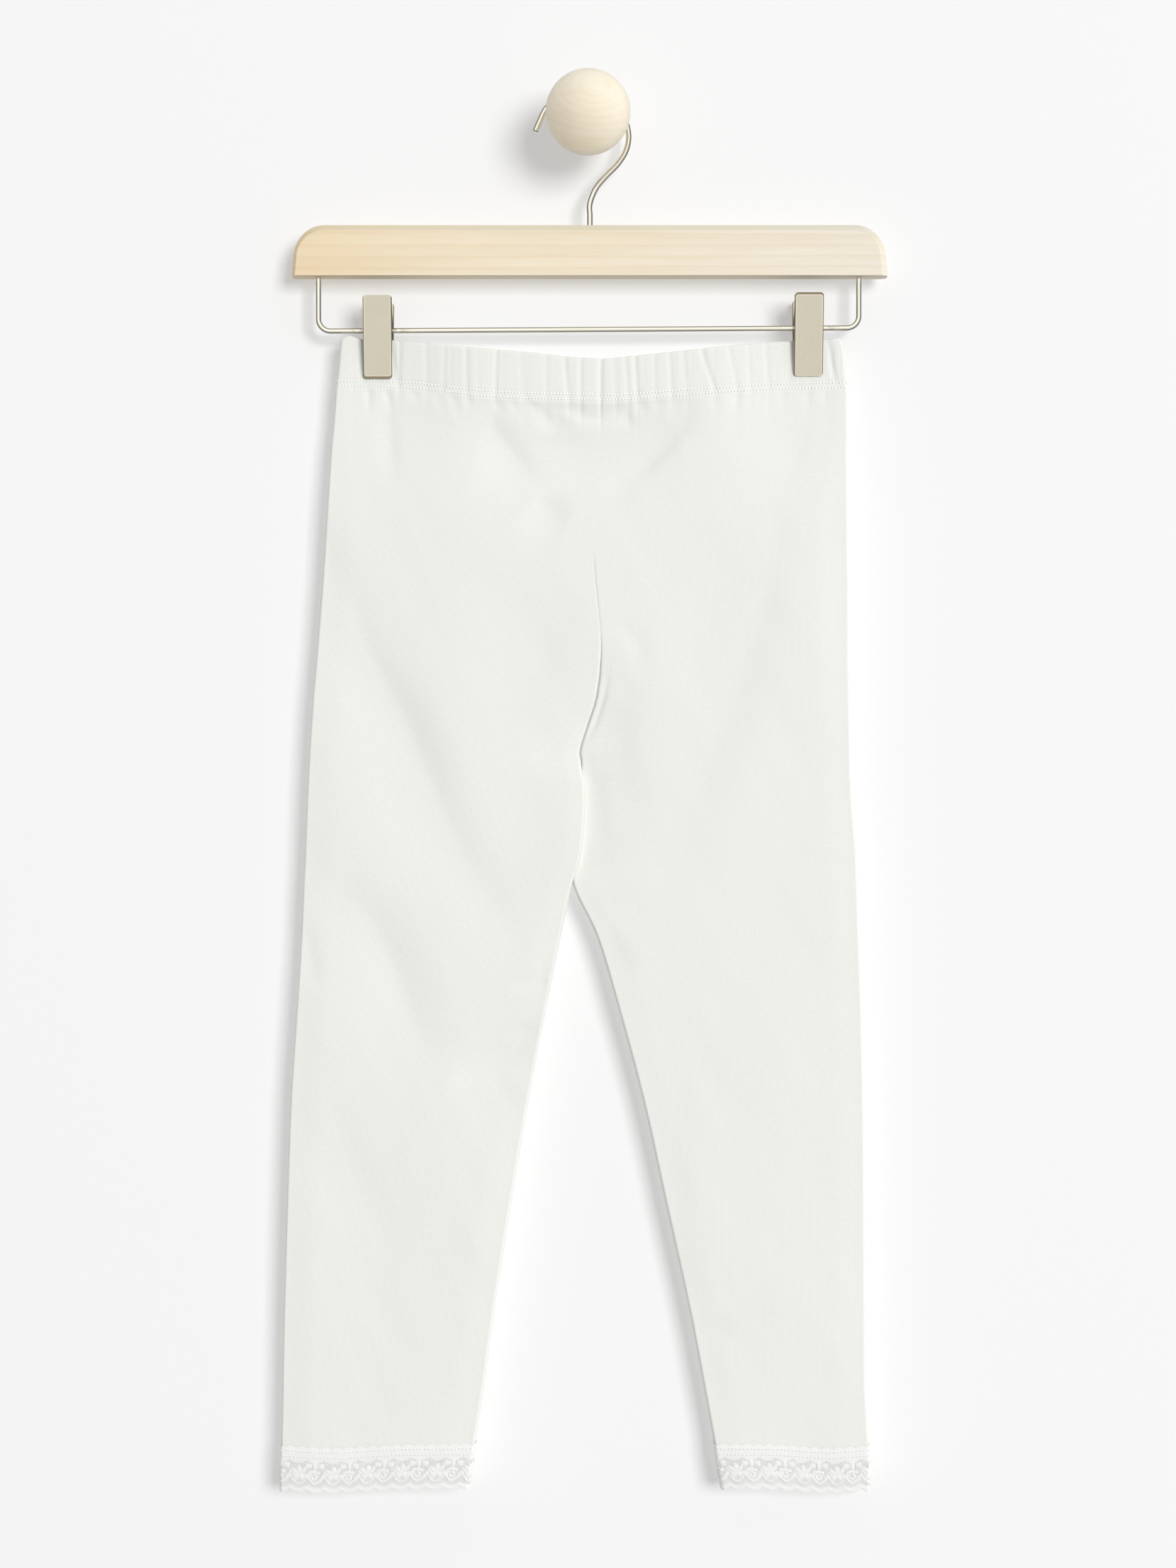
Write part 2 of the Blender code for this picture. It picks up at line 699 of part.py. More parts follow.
def wire(name, points, diameter, group, finish, sides_level=2):
    """A round wire along a row of points, with closed ends."""
    curve = bpy.data.curves.new(name, "CURVE")
    curve.dimensions = "3D"
    curve.bevel_depth = diameter / 2
    curve.bevel_resolution = sides_level
    curve.render_resolution_u = 0
    curve.use_fill_caps = True
    spline = curve.splines.new("POLY")
    spline.points.add(len(points) - 1)
    spline.use_smooth = True
    for point, spot in zip(spline.points, points):
        point.co = (*spot, 1.0)
    obj = bpy.data.objects.new(name, curve)
    group.objects.link(obj)
    curve.materials.append(finish_material(finish, name + "_" + finish))
    return obj


def hanger_hook(group):
    """The wire hook that stands in the bar and hangs over the peg's stem."""
    route = smooth_route([(x, HANG_Y, z) for x, z in HOOK_ROUTE], HOOK_STEPS_PER_SPAN)
    return wire("hanger_hook", route, HOOK_WIRE, group, "nickel")


def hanger_rod(group):
    """The trouser rod, down from the bar, across and up again."""
    left = ROD_CENTRE_X - ROD_HALF_SPAN
    right = ROD_CENTRE_X + ROD_HALF_SPAN
    top = BAR_BOTTOM_Z - TOUCH_GAP
    points = [(left, HANG_Y, top)]
    for step in range(ROD_BEND_STEPS + 1):
        angle = 0.5 * math.pi * step / ROD_BEND_STEPS
        x = left + ROD_BEND_RADIUS * (1.0 - math.cos(angle))
        z = ROD_LEFT_Z + ROD_BEND_RADIUS * (1.0 - math.sin(angle))
        points.append((x, HANG_Y, z))
    for step in range(ROD_BEND_STEPS + 1):
        angle = 0.5 * math.pi * (1.0 - step / ROD_BEND_STEPS)
        x = right - ROD_BEND_RADIUS * (1.0 - math.cos(angle))
        z = ROD_RIGHT_Z + ROD_BEND_RADIUS * (1.0 - math.sin(angle))
        points.append((x, HANG_Y, z))
    points.append((right, HANG_Y, top))
    return wire("hanger_rod", points, ROD_WIRE, group, "nickel")


def rod_height(x):
    """Height of the rod's middle at an x."""
    share = (x - ROD_CENTRE_X + ROD_HALF_SPAN) / (2 * ROD_HALF_SPAN)
    return ROD_LEFT_Z + (ROD_RIGHT_Z - ROD_LEFT_Z) * share


def bar_outline():
    """The bar's outline, with how far its front and back edges are cut in at each point."""
    half = BAR_LENGTH / 2
    outline = []
    for hand, cut in ((1, BAR_CHAMFER_RIGHT), (-1, BAR_CHAMFER_LEFT)):
        side = [(hand * half, BAR_BOTTOM_Z, hand * cut, 0.0)]
        for step in range(BAR_CORNER_STEPS + 1):
            angle = 0.5 * math.pi * step / BAR_CORNER_STEPS
            x = half - BAR_END_LEAN - BAR_CORNER_WIDTH * (1.0 - math.cos(angle))
            z = BAR_TOP_Z - BAR_CORNER_HEIGHT * (1.0 - math.sin(angle))
            cut_x = hand * cut * math.cos(angle)
            cut_z = BAR_CHAMFER_TOP * math.sin(angle)
            side.append((hand * x, z, cut_x, cut_z))
        outline += side if hand == 1 else side[::-1]
    return outline


def hanger_bar(group):
    """The wooden bar: flat below, rounded at its upper corners, chamfered round its top."""
    front_y = HANG_Y - BAR_DEPTH / 2
    back_y = HANG_Y + BAR_DEPTH / 2
    levels = (
        # y, share of the chamfer that is cut in
        (front_y, 1.0),
        (front_y + BAR_CHAMFER_DEPTH, 0.0),
        (back_y - BAR_CHAMFER_DEPTH, 0.0),
        (back_y, 1.0),
    )
    build = bmesh.new()
    rings = []
    for y, share in levels:
        ring = []
        for x, z, cut_x, cut_z in bar_outline():
            place = (BAR_CENTRE_X + x - share * cut_x, y, z - share * cut_z)
            ring.append(build.verts.new(place))
        rings.append(ring)
    for first, second in zip(rings, rings[1:]):
        for spot in range(len(first)):
            build.faces.new((first[spot], first[spot - 1], second[spot - 1], second[spot]))
    build.faces.new(rings[0])
    build.faces.new(rings[-1][::-1])
    bmesh.ops.recalc_face_normals(build, faces=build.faces)
    return mesh_object("hanger_bar", build, group, "pale_wood", smooth_angle=30)


def extruded(outline, low_x, high_x):
    """A flat outline in y and z, thickened along x."""
    build = bmesh.new()
    face = build.faces.new([build.verts.new((low_x, y, z)) for y, z in outline])
    grown = bmesh.ops.extrude_face_region(build, geom=[face])["geom"]
    moved = [item for item in grown if isinstance(item, bmesh.types.BMVert)]
    bmesh.ops.translate(build, verts=moved, vec=(high_x - low_x, 0.0, 0.0))
    bmesh.ops.recalc_face_normals(build, faces=build.faces)
    return build


def boolean(target, cutter, operation):
    step = target.modifiers.new(operation.lower(), "BOOLEAN")
    step.operation = operation
    step.object = cutter
    cutter.hide_render = True
    cutter.display_type = "WIRE"


def clip_jaw(side, place, centre_x, group, cutters):
    """A sprung jaw: a leaning plate with two ears that the rod passes through."""
    rod_z = rod_height(centre_x)
    facing = -1.0 if place == "front" else 1.0
    drop = 0.0 if place == "front" else BACK_JAW_DROP
    name = "clip_" + side + "_" + place + "_jaw"
    tip_reach = CASING_HALF_DEPTH_AT_CLIP + TOUCH_GAP + JAW_SHEET
    top = (JAW_TOP_REACH, JAW_ABOVE_ROD - drop)
    tip = (tip_reach, -JAW_BELOW_ROD)
    plate_outline = [
        (HANG_Y + facing * reach, rod_z + height)
        for reach, height in (top, tip, (tip[0] - JAW_SHEET, tip[1]), (top[0] - JAW_SHEET, top[1]))
    ]
    half = JAW_WIDTH / 2
    build = extruded(plate_outline, centre_x - half, centre_x + half)
    corners = [
        edge
        for edge in build.edges
        if abs(edge.verts[0].co.x - edge.verts[1].co.x) < JAW_SHEET / 2
        and abs(edge.verts[0].co.z - edge.verts[1].co.z) < JAW_SHEET
    ]
    bmesh.ops.bevel(
        build,
        geom=corners,
        offset=JAW_CORNER,
        segments=4,
        profile=0.5,
        affect="EDGES",
        material=-1,
    )
    jaw = mesh_object(name, build, group, "satin_clip", smooth_angle=30)

    inset = 0.0 if place == "front" else BACK_EAR_INSET
    outline = [(HANG_Y + facing * reach, rod_z + height) for reach, height in EAR_OUTLINE]
    for hand in (-1, 1):
        outer = centre_x + hand * (half - inset)
        low = min(outer, outer - hand * EAR_SHEET)
        ear = mesh_object(name + "_ear_guide", extruded(outline, low, low + EAR_SHEET), cutters)
        boolean(jaw, ear, "UNION")
    drill_build = bmesh.new()
    bmesh.ops.create_cone(
        drill_build,
        cap_ends=True,
        segments=20,
        radius1=ROD_HOLE_RADIUS,
        radius2=ROD_HOLE_RADIUS,
        depth=2 * JAW_WIDTH,
        matrix=Matrix.Translation((centre_x, HANG_Y, rod_z)) @ Matrix.Rotation(math.pi / 2, 4, "Y"),
    )
    drill = mesh_object(name + "_drill_guide", drill_build, cutters)
    boolean(jaw, drill, "DIFFERENCE")
    return jaw


def clip_spring(side, centre_x, group):
    """The coil round the rod that closes a clip."""
    steps = SPRING_TURNS * SPRING_STEPS_PER_TURN
    points = []
    for step in range(steps + 1):
        angle = 2.0 * math.pi * step / SPRING_STEPS_PER_TURN
        x = centre_x + SPRING_LENGTH * (step / steps - 0.5)
        y = HANG_Y + SPRING_RADIUS * math.cos(angle)
        z = rod_height(x) + SPRING_RADIUS * math.sin(angle)
        points.append((x, y, z))
    return wire("clip_" + side + "_spring", points, SPRING_WIRE, group, "nickel", sides_level=0)


def peg_ball(group):
    """The turned ball, with a flat behind where the stem meets it."""
    radius = BALL_DIAMETER / 2
    seat = STEM_RADIUS + TOUCH_GAP
    last = math.pi - math.asin(seat / radius)
    profile = bmesh.new()
    previous = None
    for step in range(BALL_PROFILE_STEPS + 1):
        angle = last * step / BALL_PROFILE_STEPS
        spot = profile.verts.new((radius * math.sin(angle), 0.0, radius * math.cos(angle)))
        if previous:
            profile.edges.new((previous, spot))
        previous = spot
    centre = profile.verts.new((0.0, 0.0, radius * math.cos(last)))
    profile.edges.new((previous, centre))
    obj = mesh_object("peg_ball", profile, group, "ball_wood")
    turn = obj.modifiers.new("turned", "SCREW")
    turn.steps = BALL_TURN_STEPS
    turn.render_steps = BALL_TURN_STEPS
    turn.use_merge_vertices = True
    turn.merge_threshold = MERGE_DISTANCE
    turn.use_smooth_shade = True
    obj.location = (0.0, BALL_CENTRE_Y, 0.0)
    obj.rotation_euler = (math.pi / 2, 0.0, 0.0)
    return obj


def peg_stem(group):
    """The round stem between wall and ball, flat against the wall."""
    radius = BALL_DIAMETER / 2
    seat = STEM_RADIUS + TOUCH_GAP
    front_y = BALL_CENTRE_Y + math.sqrt(radius**2 - seat**2) + TOUCH_GAP
    build = bmesh.new()
    bmesh.ops.create_cone(
        build,
        cap_ends=True,
        segments=36,
        radius1=STEM_RADIUS,
        radius2=STEM_RADIUS,
        depth=-front_y,
        matrix=Matrix.Translation((0.0, front_y / 2, 0.0)) @ Matrix.Rotation(math.pi / 2, 4, "X"),
    )
    return mesh_object("peg_stem", build, group, "ball_wood", smooth_angle=40)


def main():
    clear_scene()
    group = collection("leggings_on_clip_hanger")
    cutters = collection("cutters")
    peg_stem(group)
    peg_ball(group)
    hanger_bar(group)
    hanger_hook(group)
    hanger_rod(group)
    for side, centre_x in zip(("left", "right"), CLIP_CENTRES_X):
        for place in ("front", "back"):
            clip_jaw(side, place, centre_x, group, cutters)
        clip_spring(side, centre_x, group)
    waistband(group)
    for side in ("left", "right"):
        leg_panel(side, group)
        lace_hem(side, group)


main()
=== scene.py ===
"""The looks of cropped jersey leggings with lace hems, hung by two clips from a wooden hanger.

Units are metres, and millimetres in the tables of routes, sections, gathers, folds and puckers.
X runs to the right seen from the front, Y into the wall and Z up. The wall is the plane y = 0,
and left and right are as seen from the front.
"""

import math

import bmesh
import bpy
import numpy as np
from mathutils import Matrix, Vector


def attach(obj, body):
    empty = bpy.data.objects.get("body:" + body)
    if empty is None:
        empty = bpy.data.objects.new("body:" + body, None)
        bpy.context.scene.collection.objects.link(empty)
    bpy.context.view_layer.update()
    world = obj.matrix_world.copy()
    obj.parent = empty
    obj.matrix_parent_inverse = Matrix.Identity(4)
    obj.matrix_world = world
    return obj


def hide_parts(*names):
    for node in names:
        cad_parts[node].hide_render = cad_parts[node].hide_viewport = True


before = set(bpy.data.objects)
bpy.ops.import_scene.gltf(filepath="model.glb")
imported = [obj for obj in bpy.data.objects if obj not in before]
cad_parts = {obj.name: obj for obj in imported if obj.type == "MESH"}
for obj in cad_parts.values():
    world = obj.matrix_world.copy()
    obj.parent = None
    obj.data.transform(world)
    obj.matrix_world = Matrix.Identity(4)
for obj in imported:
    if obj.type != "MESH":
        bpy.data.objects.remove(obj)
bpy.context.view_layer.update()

MM = 0.001

# The plane in which hanger and leggings hang, and the camera in front of it
HANG_Y = -0.016
CAMERA_HEIGHT = -0.3865
CAMERA_DISTANCE = 1.5
VIEW_HEIGHT = 0.9195
SENSOR = 36.0
SEED = 11
MERGE_DISTANCE = 0.00001
WHITE = (1.0, 1.0, 1.0, 1.0)

# Hard parts of the holder, where the finer pieces repeat the frame's sizes
BALL_RADIUS = 0.0244
BALL_CENTRE_Y = -0.045
BALL_SEAT_RADIUS = 0.0128
BALL_EDGE_ANGLE = math.radians(35)
HOOK_WIRE = 0.0032
HOOK_ROUTE = (
    # x, z
    (1.1, -59.3), (1.1, -53.0), (1.1, -46.2), (4.7, -37.2), (10.6, -30.0), (17.6, -22.8),
    (22.4, -14.8), (23.8, -6.0), (21.5, 2.8), (14.8, 10.4), (5.2, 14.0), (-1.0, 14.4),
    (-7.5, 14.3), (-16.5, 13.4), (-23.0, 11.0), (-25.8, 7.6), (-28.3, 2.2), (-30.8, -3.5),
)
ROD_WIRE = 0.0030
ROD_HALF_SPAN = 0.1584
ROD_CENTRE_X = 0.0004
ROD_TOP_Z = -0.0896
ROD_LEFT_Z = -0.1209
ROD_RIGHT_Z = -0.1191
ROD_BEND_RADIUS = 0.0070
CLIP_CENTRES_X = (-0.1229, 0.1290)
JAW_WIDTH = 0.0168
JAW_CORNER = 0.0019
JAW_LEVELS = (-0.1009, -0.1486)
JAW_ROUNDING = 0.0004
ROUNDED_EDGE_ANGLE = math.radians(40)
SPRING_WIRE = 0.0010
SPRING_RADIUS = 0.0023
SPRING_LENGTH = 0.0096
SPRING_TURNS = 5

# Waistband casing
WAIST_TOP = (
    # x, z
    (-149.0, -132.0), (-145.5, -126.8), (-140.0, -123.9), (-132.5, -125.8), (-113.7, -126.5),
    (-70.9, -130.8), (-36.8, -133.8), (-13.9, -136.3), (8.5, -137.7), (28.1, -136.0),
    (46.8, -134.0), (72.5, -131.3), (103.7, -127.9), (139.2, -125.9), (146.0, -125.2),
    (149.6, -128.2), (152.0, -134.0),
)
CASING_FOOT = (
    # x, z
    (-150.0, -153.3), (-107.9, -154.1), (-87.5, -156.4), (-56.3, -160.0), (5.6, -162.0),
    (23.1, -161.6), (72.5, -157.9), (103.0, -155.6), (153.0, -154.1),
)
CASING_ENDS_X = (
    # z, left fold, right fold
    (-123.8, -144.8, 147.0),
    (-131.0, -145.5, 150.0),
    (-145.0, -146.8, 151.3),
    (-156.0, -148.0, 152.2),
)
CASING_HALF_DEPTH = 0.0062
CASING_HALF_DEPTH_AT_CLIP = 0.00245
CASING_END_ROUND = 0.0065
CASING_WALL = 0.0022
CASING_CROWDING = 0.18
INSIDE_ROOM_SHARE = 0.9
INSIDE_ROOM_SPARE = 0.0003
PINCH_SPREAD = 0.052

# Gathers of the casing from its top edge to the stitching
FRONT_GATHERS = (
    # x at the top, x at the stitching, half width, depth
    (-110.4, -110.8, 1.4, 0.4), (-95.0, -94.6, 1.4, 0.3), (-83.8, -84.6, 1.3, 0.3),
    (-71.3, -70.6, 1.4, 0.5), (-53.4, -54.2, 1.2, 0.7), (-39.5, -38.0, 1.4, 0.3),
    (-24.7, -24.3, 1.4, 0.3), (-13.9, -11.2, 1.3, 0.6), (-4.4, -4.2, 1.0, 0.6),
    (7.6, 7.4, 1.1, 1.0), (15.0, 16.0, 1.2, 0.3), (27.4, 28.9, 1.2, 0.8), (21.5, 23.8, 1.1, 0.4),
    (38.9, 39.6, 1.3, 0.3), (47.6, 49.0, 1.2, 0.6), (55.9, 57.7, 1.3, 0.4),
    (66.0, 74.6, 1.4, 0.6), (82.5, 87.2, 1.4, 0.4), (94.0, 95.0, 1.3, 0.3),
    (104.0, 106.0, 1.4, 0.4),
)
BACK_GATHER_COUNT = 18
BACK_GATHER_SPAN = (-0.104, 0.110)
BACK_GATHER_WIDTH = 0.0015
BACK_GATHER_DEPTH = 0.0005
BACK_GATHER_SHIFT = 0.0022
GATHER_LEAN = 0.0012
FINE_GATHER_COUNT = 46
FINE_GATHER_SPAN = (-0.1420, 0.1470)
FINE_GATHER_WIDTH = 0.0011
FINE_GATHER_DEPTH = 0.00012
GATHER_CRISPNESS = 1.5
GATHER_FADE = 0.0110
GATHER_FADE_POWER = 1.3
TOP_DIP_SHARE = 0.35

# Twin rows of stitching round the waist
STITCH_PITCH = 0.0019
STITCH_LENGTH = 0.0015
STITCH_WIDTH = 0.0010
STITCH_SLANT = 0.45
STITCH_LIFT = 0.00012
STITCH_ROW_GAP = 0.0029
STITCH_GROOVE_WIDTH = 0.0008
STITCH_GROOVE_DEPTH = 0.00026

# Leg panels: each row is a section across both legs
SECTIONS = (
    # z, left outer x, left inner x, right inner x, right outer x, half depth
    (-153.0, -147.8, 2.9, 2.9, 152.2, 5.4),
    (-172.0, -149.2, 2.9, 2.9, 152.4, 5.8),
    (-193.2, -151.1, 2.9, 2.9, 152.3, 6.3),
    (-239.4, -154.0, 2.9, 2.9, 152.6, 6.8),
    (-265.5, -155.7, 4.4, 4.4, 152.9, 6.8),
    (-292.5, -157.8, 7.0, 7.0, 153.1, 6.7),
    (-312.1, -159.4, 7.5, 7.5, 153.1, 6.6),
    (-336.2, -161.5, 4.8, 4.8, 153.5, 6.5),
    (-352.4, -162.6, -0.3, -0.3, 153.8, 6.4),
    (-367.4, -163.6, -4.8, -4.8, 154.1, 6.3),
    (-374.0, -163.9, -4.0, -4.0, 154.2, 6.3),
    (-380.0, -164.2, -3.2, -4.4, 154.3, 6.3),
    (-386.0, -164.5, -1.8, -4.1, 154.6, 6.3),
    (-400.7, -165.1, -1.5, -3.8, 155.4, 6.3),
    (-423.1, -166.0, -3.1, -5.4, 157.3, 6.4),
    (-433.0, -166.4, -5.2, -6.6, 157.7, 6.4),
    (-445.1, -167.0, -9.0, -9.0, 158.1, 6.5),
    (-475.0, -168.3, -15.6, 4.6, 159.0, 6.6),
    (-514.1, -170.6, -23.5, 16.4, 160.5, 6.7),
    (-571.4, -174.4, -34.5, 31.8, 161.7, 6.7),
    (-633.4, -176.6, -44.9, 45.5, 162.2, 6.6),
    (-695.8, -178.4, -54.7, 59.2, 162.5, 6.5),
    (-737.4, -179.2, -60.3, 67.1, 162.8, 6.4),
    (-780.6, -179.9, -67.1, 75.0, 164.9, 6.4),
    (-799.0, -180.0, -70.0, 78.2, 164.6, 6.4),
)
SEAM_TOP_Z = SECTIONS[0][0] * MM
HEM_Z = -0.7806
CLOSING_START_Z = -0.296
CROTCH_Z = -0.3674
GAP_APEX_Z = -0.4451
OUTER_ROUND_TOP = 0.0065
OUTER_ROUND = 0.0190
INNER_ROUND_CROTCH = 0.0100
INNER_ROUND = 0.0190
CROTCH_THINNING = 0.42
CROTCH_THIN_REACH = 0.040
CASING_INFLUENCE = 0.085
FOLD_BITE = 0.88
FOLD_RADIUS = 0.0016
RISE_SEAM_WIDTH = 0.0006
RISE_SEAM = (
    # z, half the gap between the legs, depth of the groove
    (-150.0, 0.0, 0.0),
    (-250.0, 0.0, 0.0),
    (-260.0, 0.05, 0.15),
    (-367.4, 0.08, 0.22),
    (-810.0, 0.1, 0.22),
)
LEG_CROWDING = 0.65
TURNED_EDGE_ANGLE = math.radians(55)
LEG_COLUMNS = 270
ROW_STRETCHES = (
    # from z, to z, spacing
    (SEAM_TOP_Z, -0.2050, 0.0012),
    (-0.2050, -0.4000, 0.0021),
    (-0.4000, HEM_Z, 0.0026),
)
HEM_RETURN = (
    # below the hem's level, in from the outside
    (0.0004, 0.0003),
    (0.0006, 0.0008),
    (0.0003, 0.0013),
    (-0.0030, 0.0014),
    (-0.0100, 0.0014),
)
SEAM_RETURN = (0.0008, 0.0022)

# How far the left leg lies in front of the right one, along the rise and below the crotch
OVERLAP_SHIFT = (
    # z, shift
    (-260.0, 0.0),
    (-300.0, 0.2),
    (-366.0, 0.3),
    (-376.0, 1.2),
    (-386.0, 2.3),
    (-430.0, 2.3),
    (-450.0, 0.8),
    (-475.0, 0.0),
)
OVERLAP_REACH = 0.025

# The folds begin just under the stitching. Each route below is a fold's shaded side, and the
# fold's middle lies this share of its width further from the light
FOLD_START = 0.0040
SHADE_OFFSET = 0.65
LIGHT_LEAN = (0.92, 0.39)
FOLD_REACH = 2.6
FOLD_STEPS = 6
FADE_START = 0.02
FADE_POWER = 1.2
LIT_CRISPNESS = 2.0
PUCKER_CRISPNESS = 1.6

# Crispness of a fold's shaded side, and how much wider its lit side is
SOFT = (2.0, 1.6)
CRISP = (1.8, 0.9)
RIDGE = (2.0, 0.4)
EVEN = (2.0, 0.0)
PRESSED = (1.6, 0.6)

# Folds of the front: route, half width of the shaded side, depth (a ridge if negative),
# crispness of the shaded side, and how much wider the lit side is
FRONT_FOLDS = (
    # long trough from the left hip to the knee
    (((-147.8, -236.4), (-141.1, -259.3), (-125.3, -302.9), (-104.5, -342.4), (-89.2, -378.6),
      (-72.5, -417.3), (-53.8, -451.4), (-35.1, -487.9)), 12.0, 2.8, 1.8, 1.6),
    # bend round the left knee, with the swell below it
    (((-155.7, -440.1), (-137.0, -451.4), (-122.4, -465.1), (-110.0, -490.0), (-99.6, -519.1),
      (-89.2, -539.9), (-74.6, -553.0)), 14.0, 2.8, 1.6, 0.8),
    (((-149.4, -475.5), (-137.0, -500.4), (-120.3, -529.5), (-101.6, -556.5), (-78.8, -571.1)),
      12.0, -0.6, *RIDGE),
    (((-80.0, -550.0), (-64.0, -551.2), (-45.0, -544.0), (-22.7, -529.0)), 11.0, 2.0, *EVEN),
    (((-46.4, -504.6), (-32.2, -500.8), (-16.5, -493.8)), 3.0, 1.0, *CRISP),
    (((-47.6, -532.8), (-35.1, -530.3), (-24.7, -527.4)), 2.6, 0.6, *CRISP),
    (((-163.6, -463.0), (-159.8, -485.9), (-156.9, -508.7)), 5.0, 0.7, *SOFT),
    # long trough from the right hip to the crotch, with a swell beside it
    (((128.7, -179.5), (121.6, -201.1), (115.8, -226.0), (112.4, -255.1), (107.5, -280.1),
      (97.5, -313.3), (87.5, -342.4), (77.5, -369.5), (70.0, -388.2), (58.4, -411.0),
      (43.9, -436.0), (29.3, -451.4)), 15.0, 2.2, 2.0, 1.4),
    (((130.7, -175.3), (124.9, -192.0), (119.1, -204.4)), 4.6, 0.5, *SOFT),
    (((103.3, -217.7), (95.8, -259.3), (79.2, -300.9), (66.7, -334.1), (50.1, -375.7)), 14.0,
      -0.6, *RIDGE),
    # drawn in below the casing
    (((66.0, -160.0), (57.6, -175.3), (48.0, -186.6), (35.5, -199.0), (23.1, -209.4),
      (8.5, -217.7)), 6.0, 2.0, *SOFT),
    (((-60.0, -159.0), (-50.5, -178.2), (-40.9, -191.1), (-33.0, -201.9), (-25.6, -213.6)), 8.0,
      2.1, *SOFT),
    (((-30.0, -216.0), (-20.0, -224.0), (-9.0, -229.0)), 8.5, 1.5, 2.0, 0.8),
    (((-13.1, -164.9), (-7.3, -169.1), (0.2, -171.2), (8.5, -171.6), (16.0, -168.7),
      (21.8, -163.3)), 3.4, 0.7, *EVEN),
    (((-30.1, -161.7), (-22.7, -172.0), (-15.0, -180.0)), 3.4, 0.8, *CRISP),
    (((-18.0, -168.0), (-14.6, -174.0), (-11.8, -180.0)), 3.8, 0.9, *CRISP),
    (((-6.2, -161.7), (-4.2, -166.0), (-2.2, -170.5)), 2.8, 0.6, *CRISP),
    (((22.5, -165.0), (24.5, -172.0), (27.5, -179.0)), 3.0, 0.8, *CRISP),
    (((-60.0, -176.0), (-30.0, -184.0), (0.0, -188.0), (23.0, -184.0), (50.0, -176.0)), 13.0, 3.2,
      2.0, 1.2),
    (((-116.5, -156.0), (-113.7, -182.8), (-112.0, -213.6)), 4.0, 0.8, *CRISP),
    (((-60.0, -165.0), (-30.0, -167.0), (5.6, -168.4), (23.0, -167.6), (56.0, -164.5)), 4.4, 1.3,
      *SOFT),
    # soft hollows of belly and seat
    (((-1.0, -278.4), (-20.6, -305.0), (-30.6, -342.0)), 12.5, 0.8, *SOFT),
    (((21.0, -336.2), (23.5, -359.1), (21.0, -381.9)), 9.0, 0.9, *SOFT),
    (((8.5, -298.8), (21.0, -294.6), (31.8, -302.9), (35.5, -325.8)), 5.8, 0.6, *EVEN),
    (((5.2, -373.6), (8.5, -396.5), (11.0, -425.6)), 6.0, -0.7, *RIDGE),
    (((13.5, -467.2), (21.0, -483.8), (31.4, -500.4)), 7.5, 0.9, *SOFT),
    # soft hollows of the shins and along the outer folds
    (((53.4, -542.0), (56.3, -587.7), (60.5, -645.9)), 9.2, 0.7, *SOFT),
    (((76.3, -693.7), (80.9, -704.1), (85.8, -713.2)), 6.0, 0.7, *SOFT),
    (((-146.1, -562.8), (-134.9, -600.2), (-124.5, -641.7)), 12.5, 0.7, *SOFT),
    (((-53.8, -555.3), (-44.7, -566.9), (-37.2, -579.4)), 5.8, 0.6, *SOFT),
    (((-120.0, -600.0), (-115.0, -670.0), (-108.0, -740.0)), 14.0, 0.6, *SOFT),
    (((149.9, -217.7), (155.5, -300.9), (157.0, -404.8)), 6.0, 0.6, *SOFT),
    (((-152.8, -217.7), (-149.4, -255.1), (-144.5, -288.4)), 6.0, 0.6, *SOFT),
    # folded edge beside the rise seam
    (((13.3, -319.0), (9.6, -337.0), (3.5, -354.5), (-1.9, -361.6), (-4.8, -368.2)), 1.4, 0.9,
      *CRISP),
)
BACK_FOLDS = (
    (((-142.0, -245.0), (-138.0, -265.0), (-95.0, -385.0), (-40.0, -475.0)), 11.0, 2.2, *SOFT),
    (((-145.0, -470.0), (-105.0, -515.0), (-66.0, -565.0)), 9.0, 1.8, *SOFT),
    (((133.0, -230.0), (102.0, -345.0), (48.0, -440.0)), 12.0, 2.0, *SOFT),
    (((138.0, -490.0), (101.0, -530.0), (56.0, -572.0)), 9.0, 1.6, *SOFT),
    (((68.0, -158.0), (48.0, -192.0), (21.0, -225.0)), 6.0, 1.5, *SOFT),
    (((-60.0, -158.0), (-40.0, -195.0), (-14.0, -230.0)), 6.0, 1.5, *SOFT),
    (((-122.0, -620.0), (-118.0, -685.0), (-112.0, -750.0)), 13.0, 0.8, *SOFT),
    (((118.0, -610.0), (121.0, -680.0), (125.0, -750.0)), 13.0, 0.8, *SOFT),
    (((90.0, -158.0), (87.0, -176.0), (82.0, -198.0)), 3.6, 1.0, *CRISP),
    (((-98.0, -157.0), (-93.0, -178.0), (-86.0, -205.0)), 4.0, 1.0, *CRISP),
    (((-11.0, -164.0), (-4.0, -170.0), (8.0, -171.0), (15.0, -165.0)), 2.8, 1.2, *CRISP),
    (((10.0, -310.0), (22.0, -305.0), (33.0, -320.0)), 7.0, 0.7, *SOFT),
)

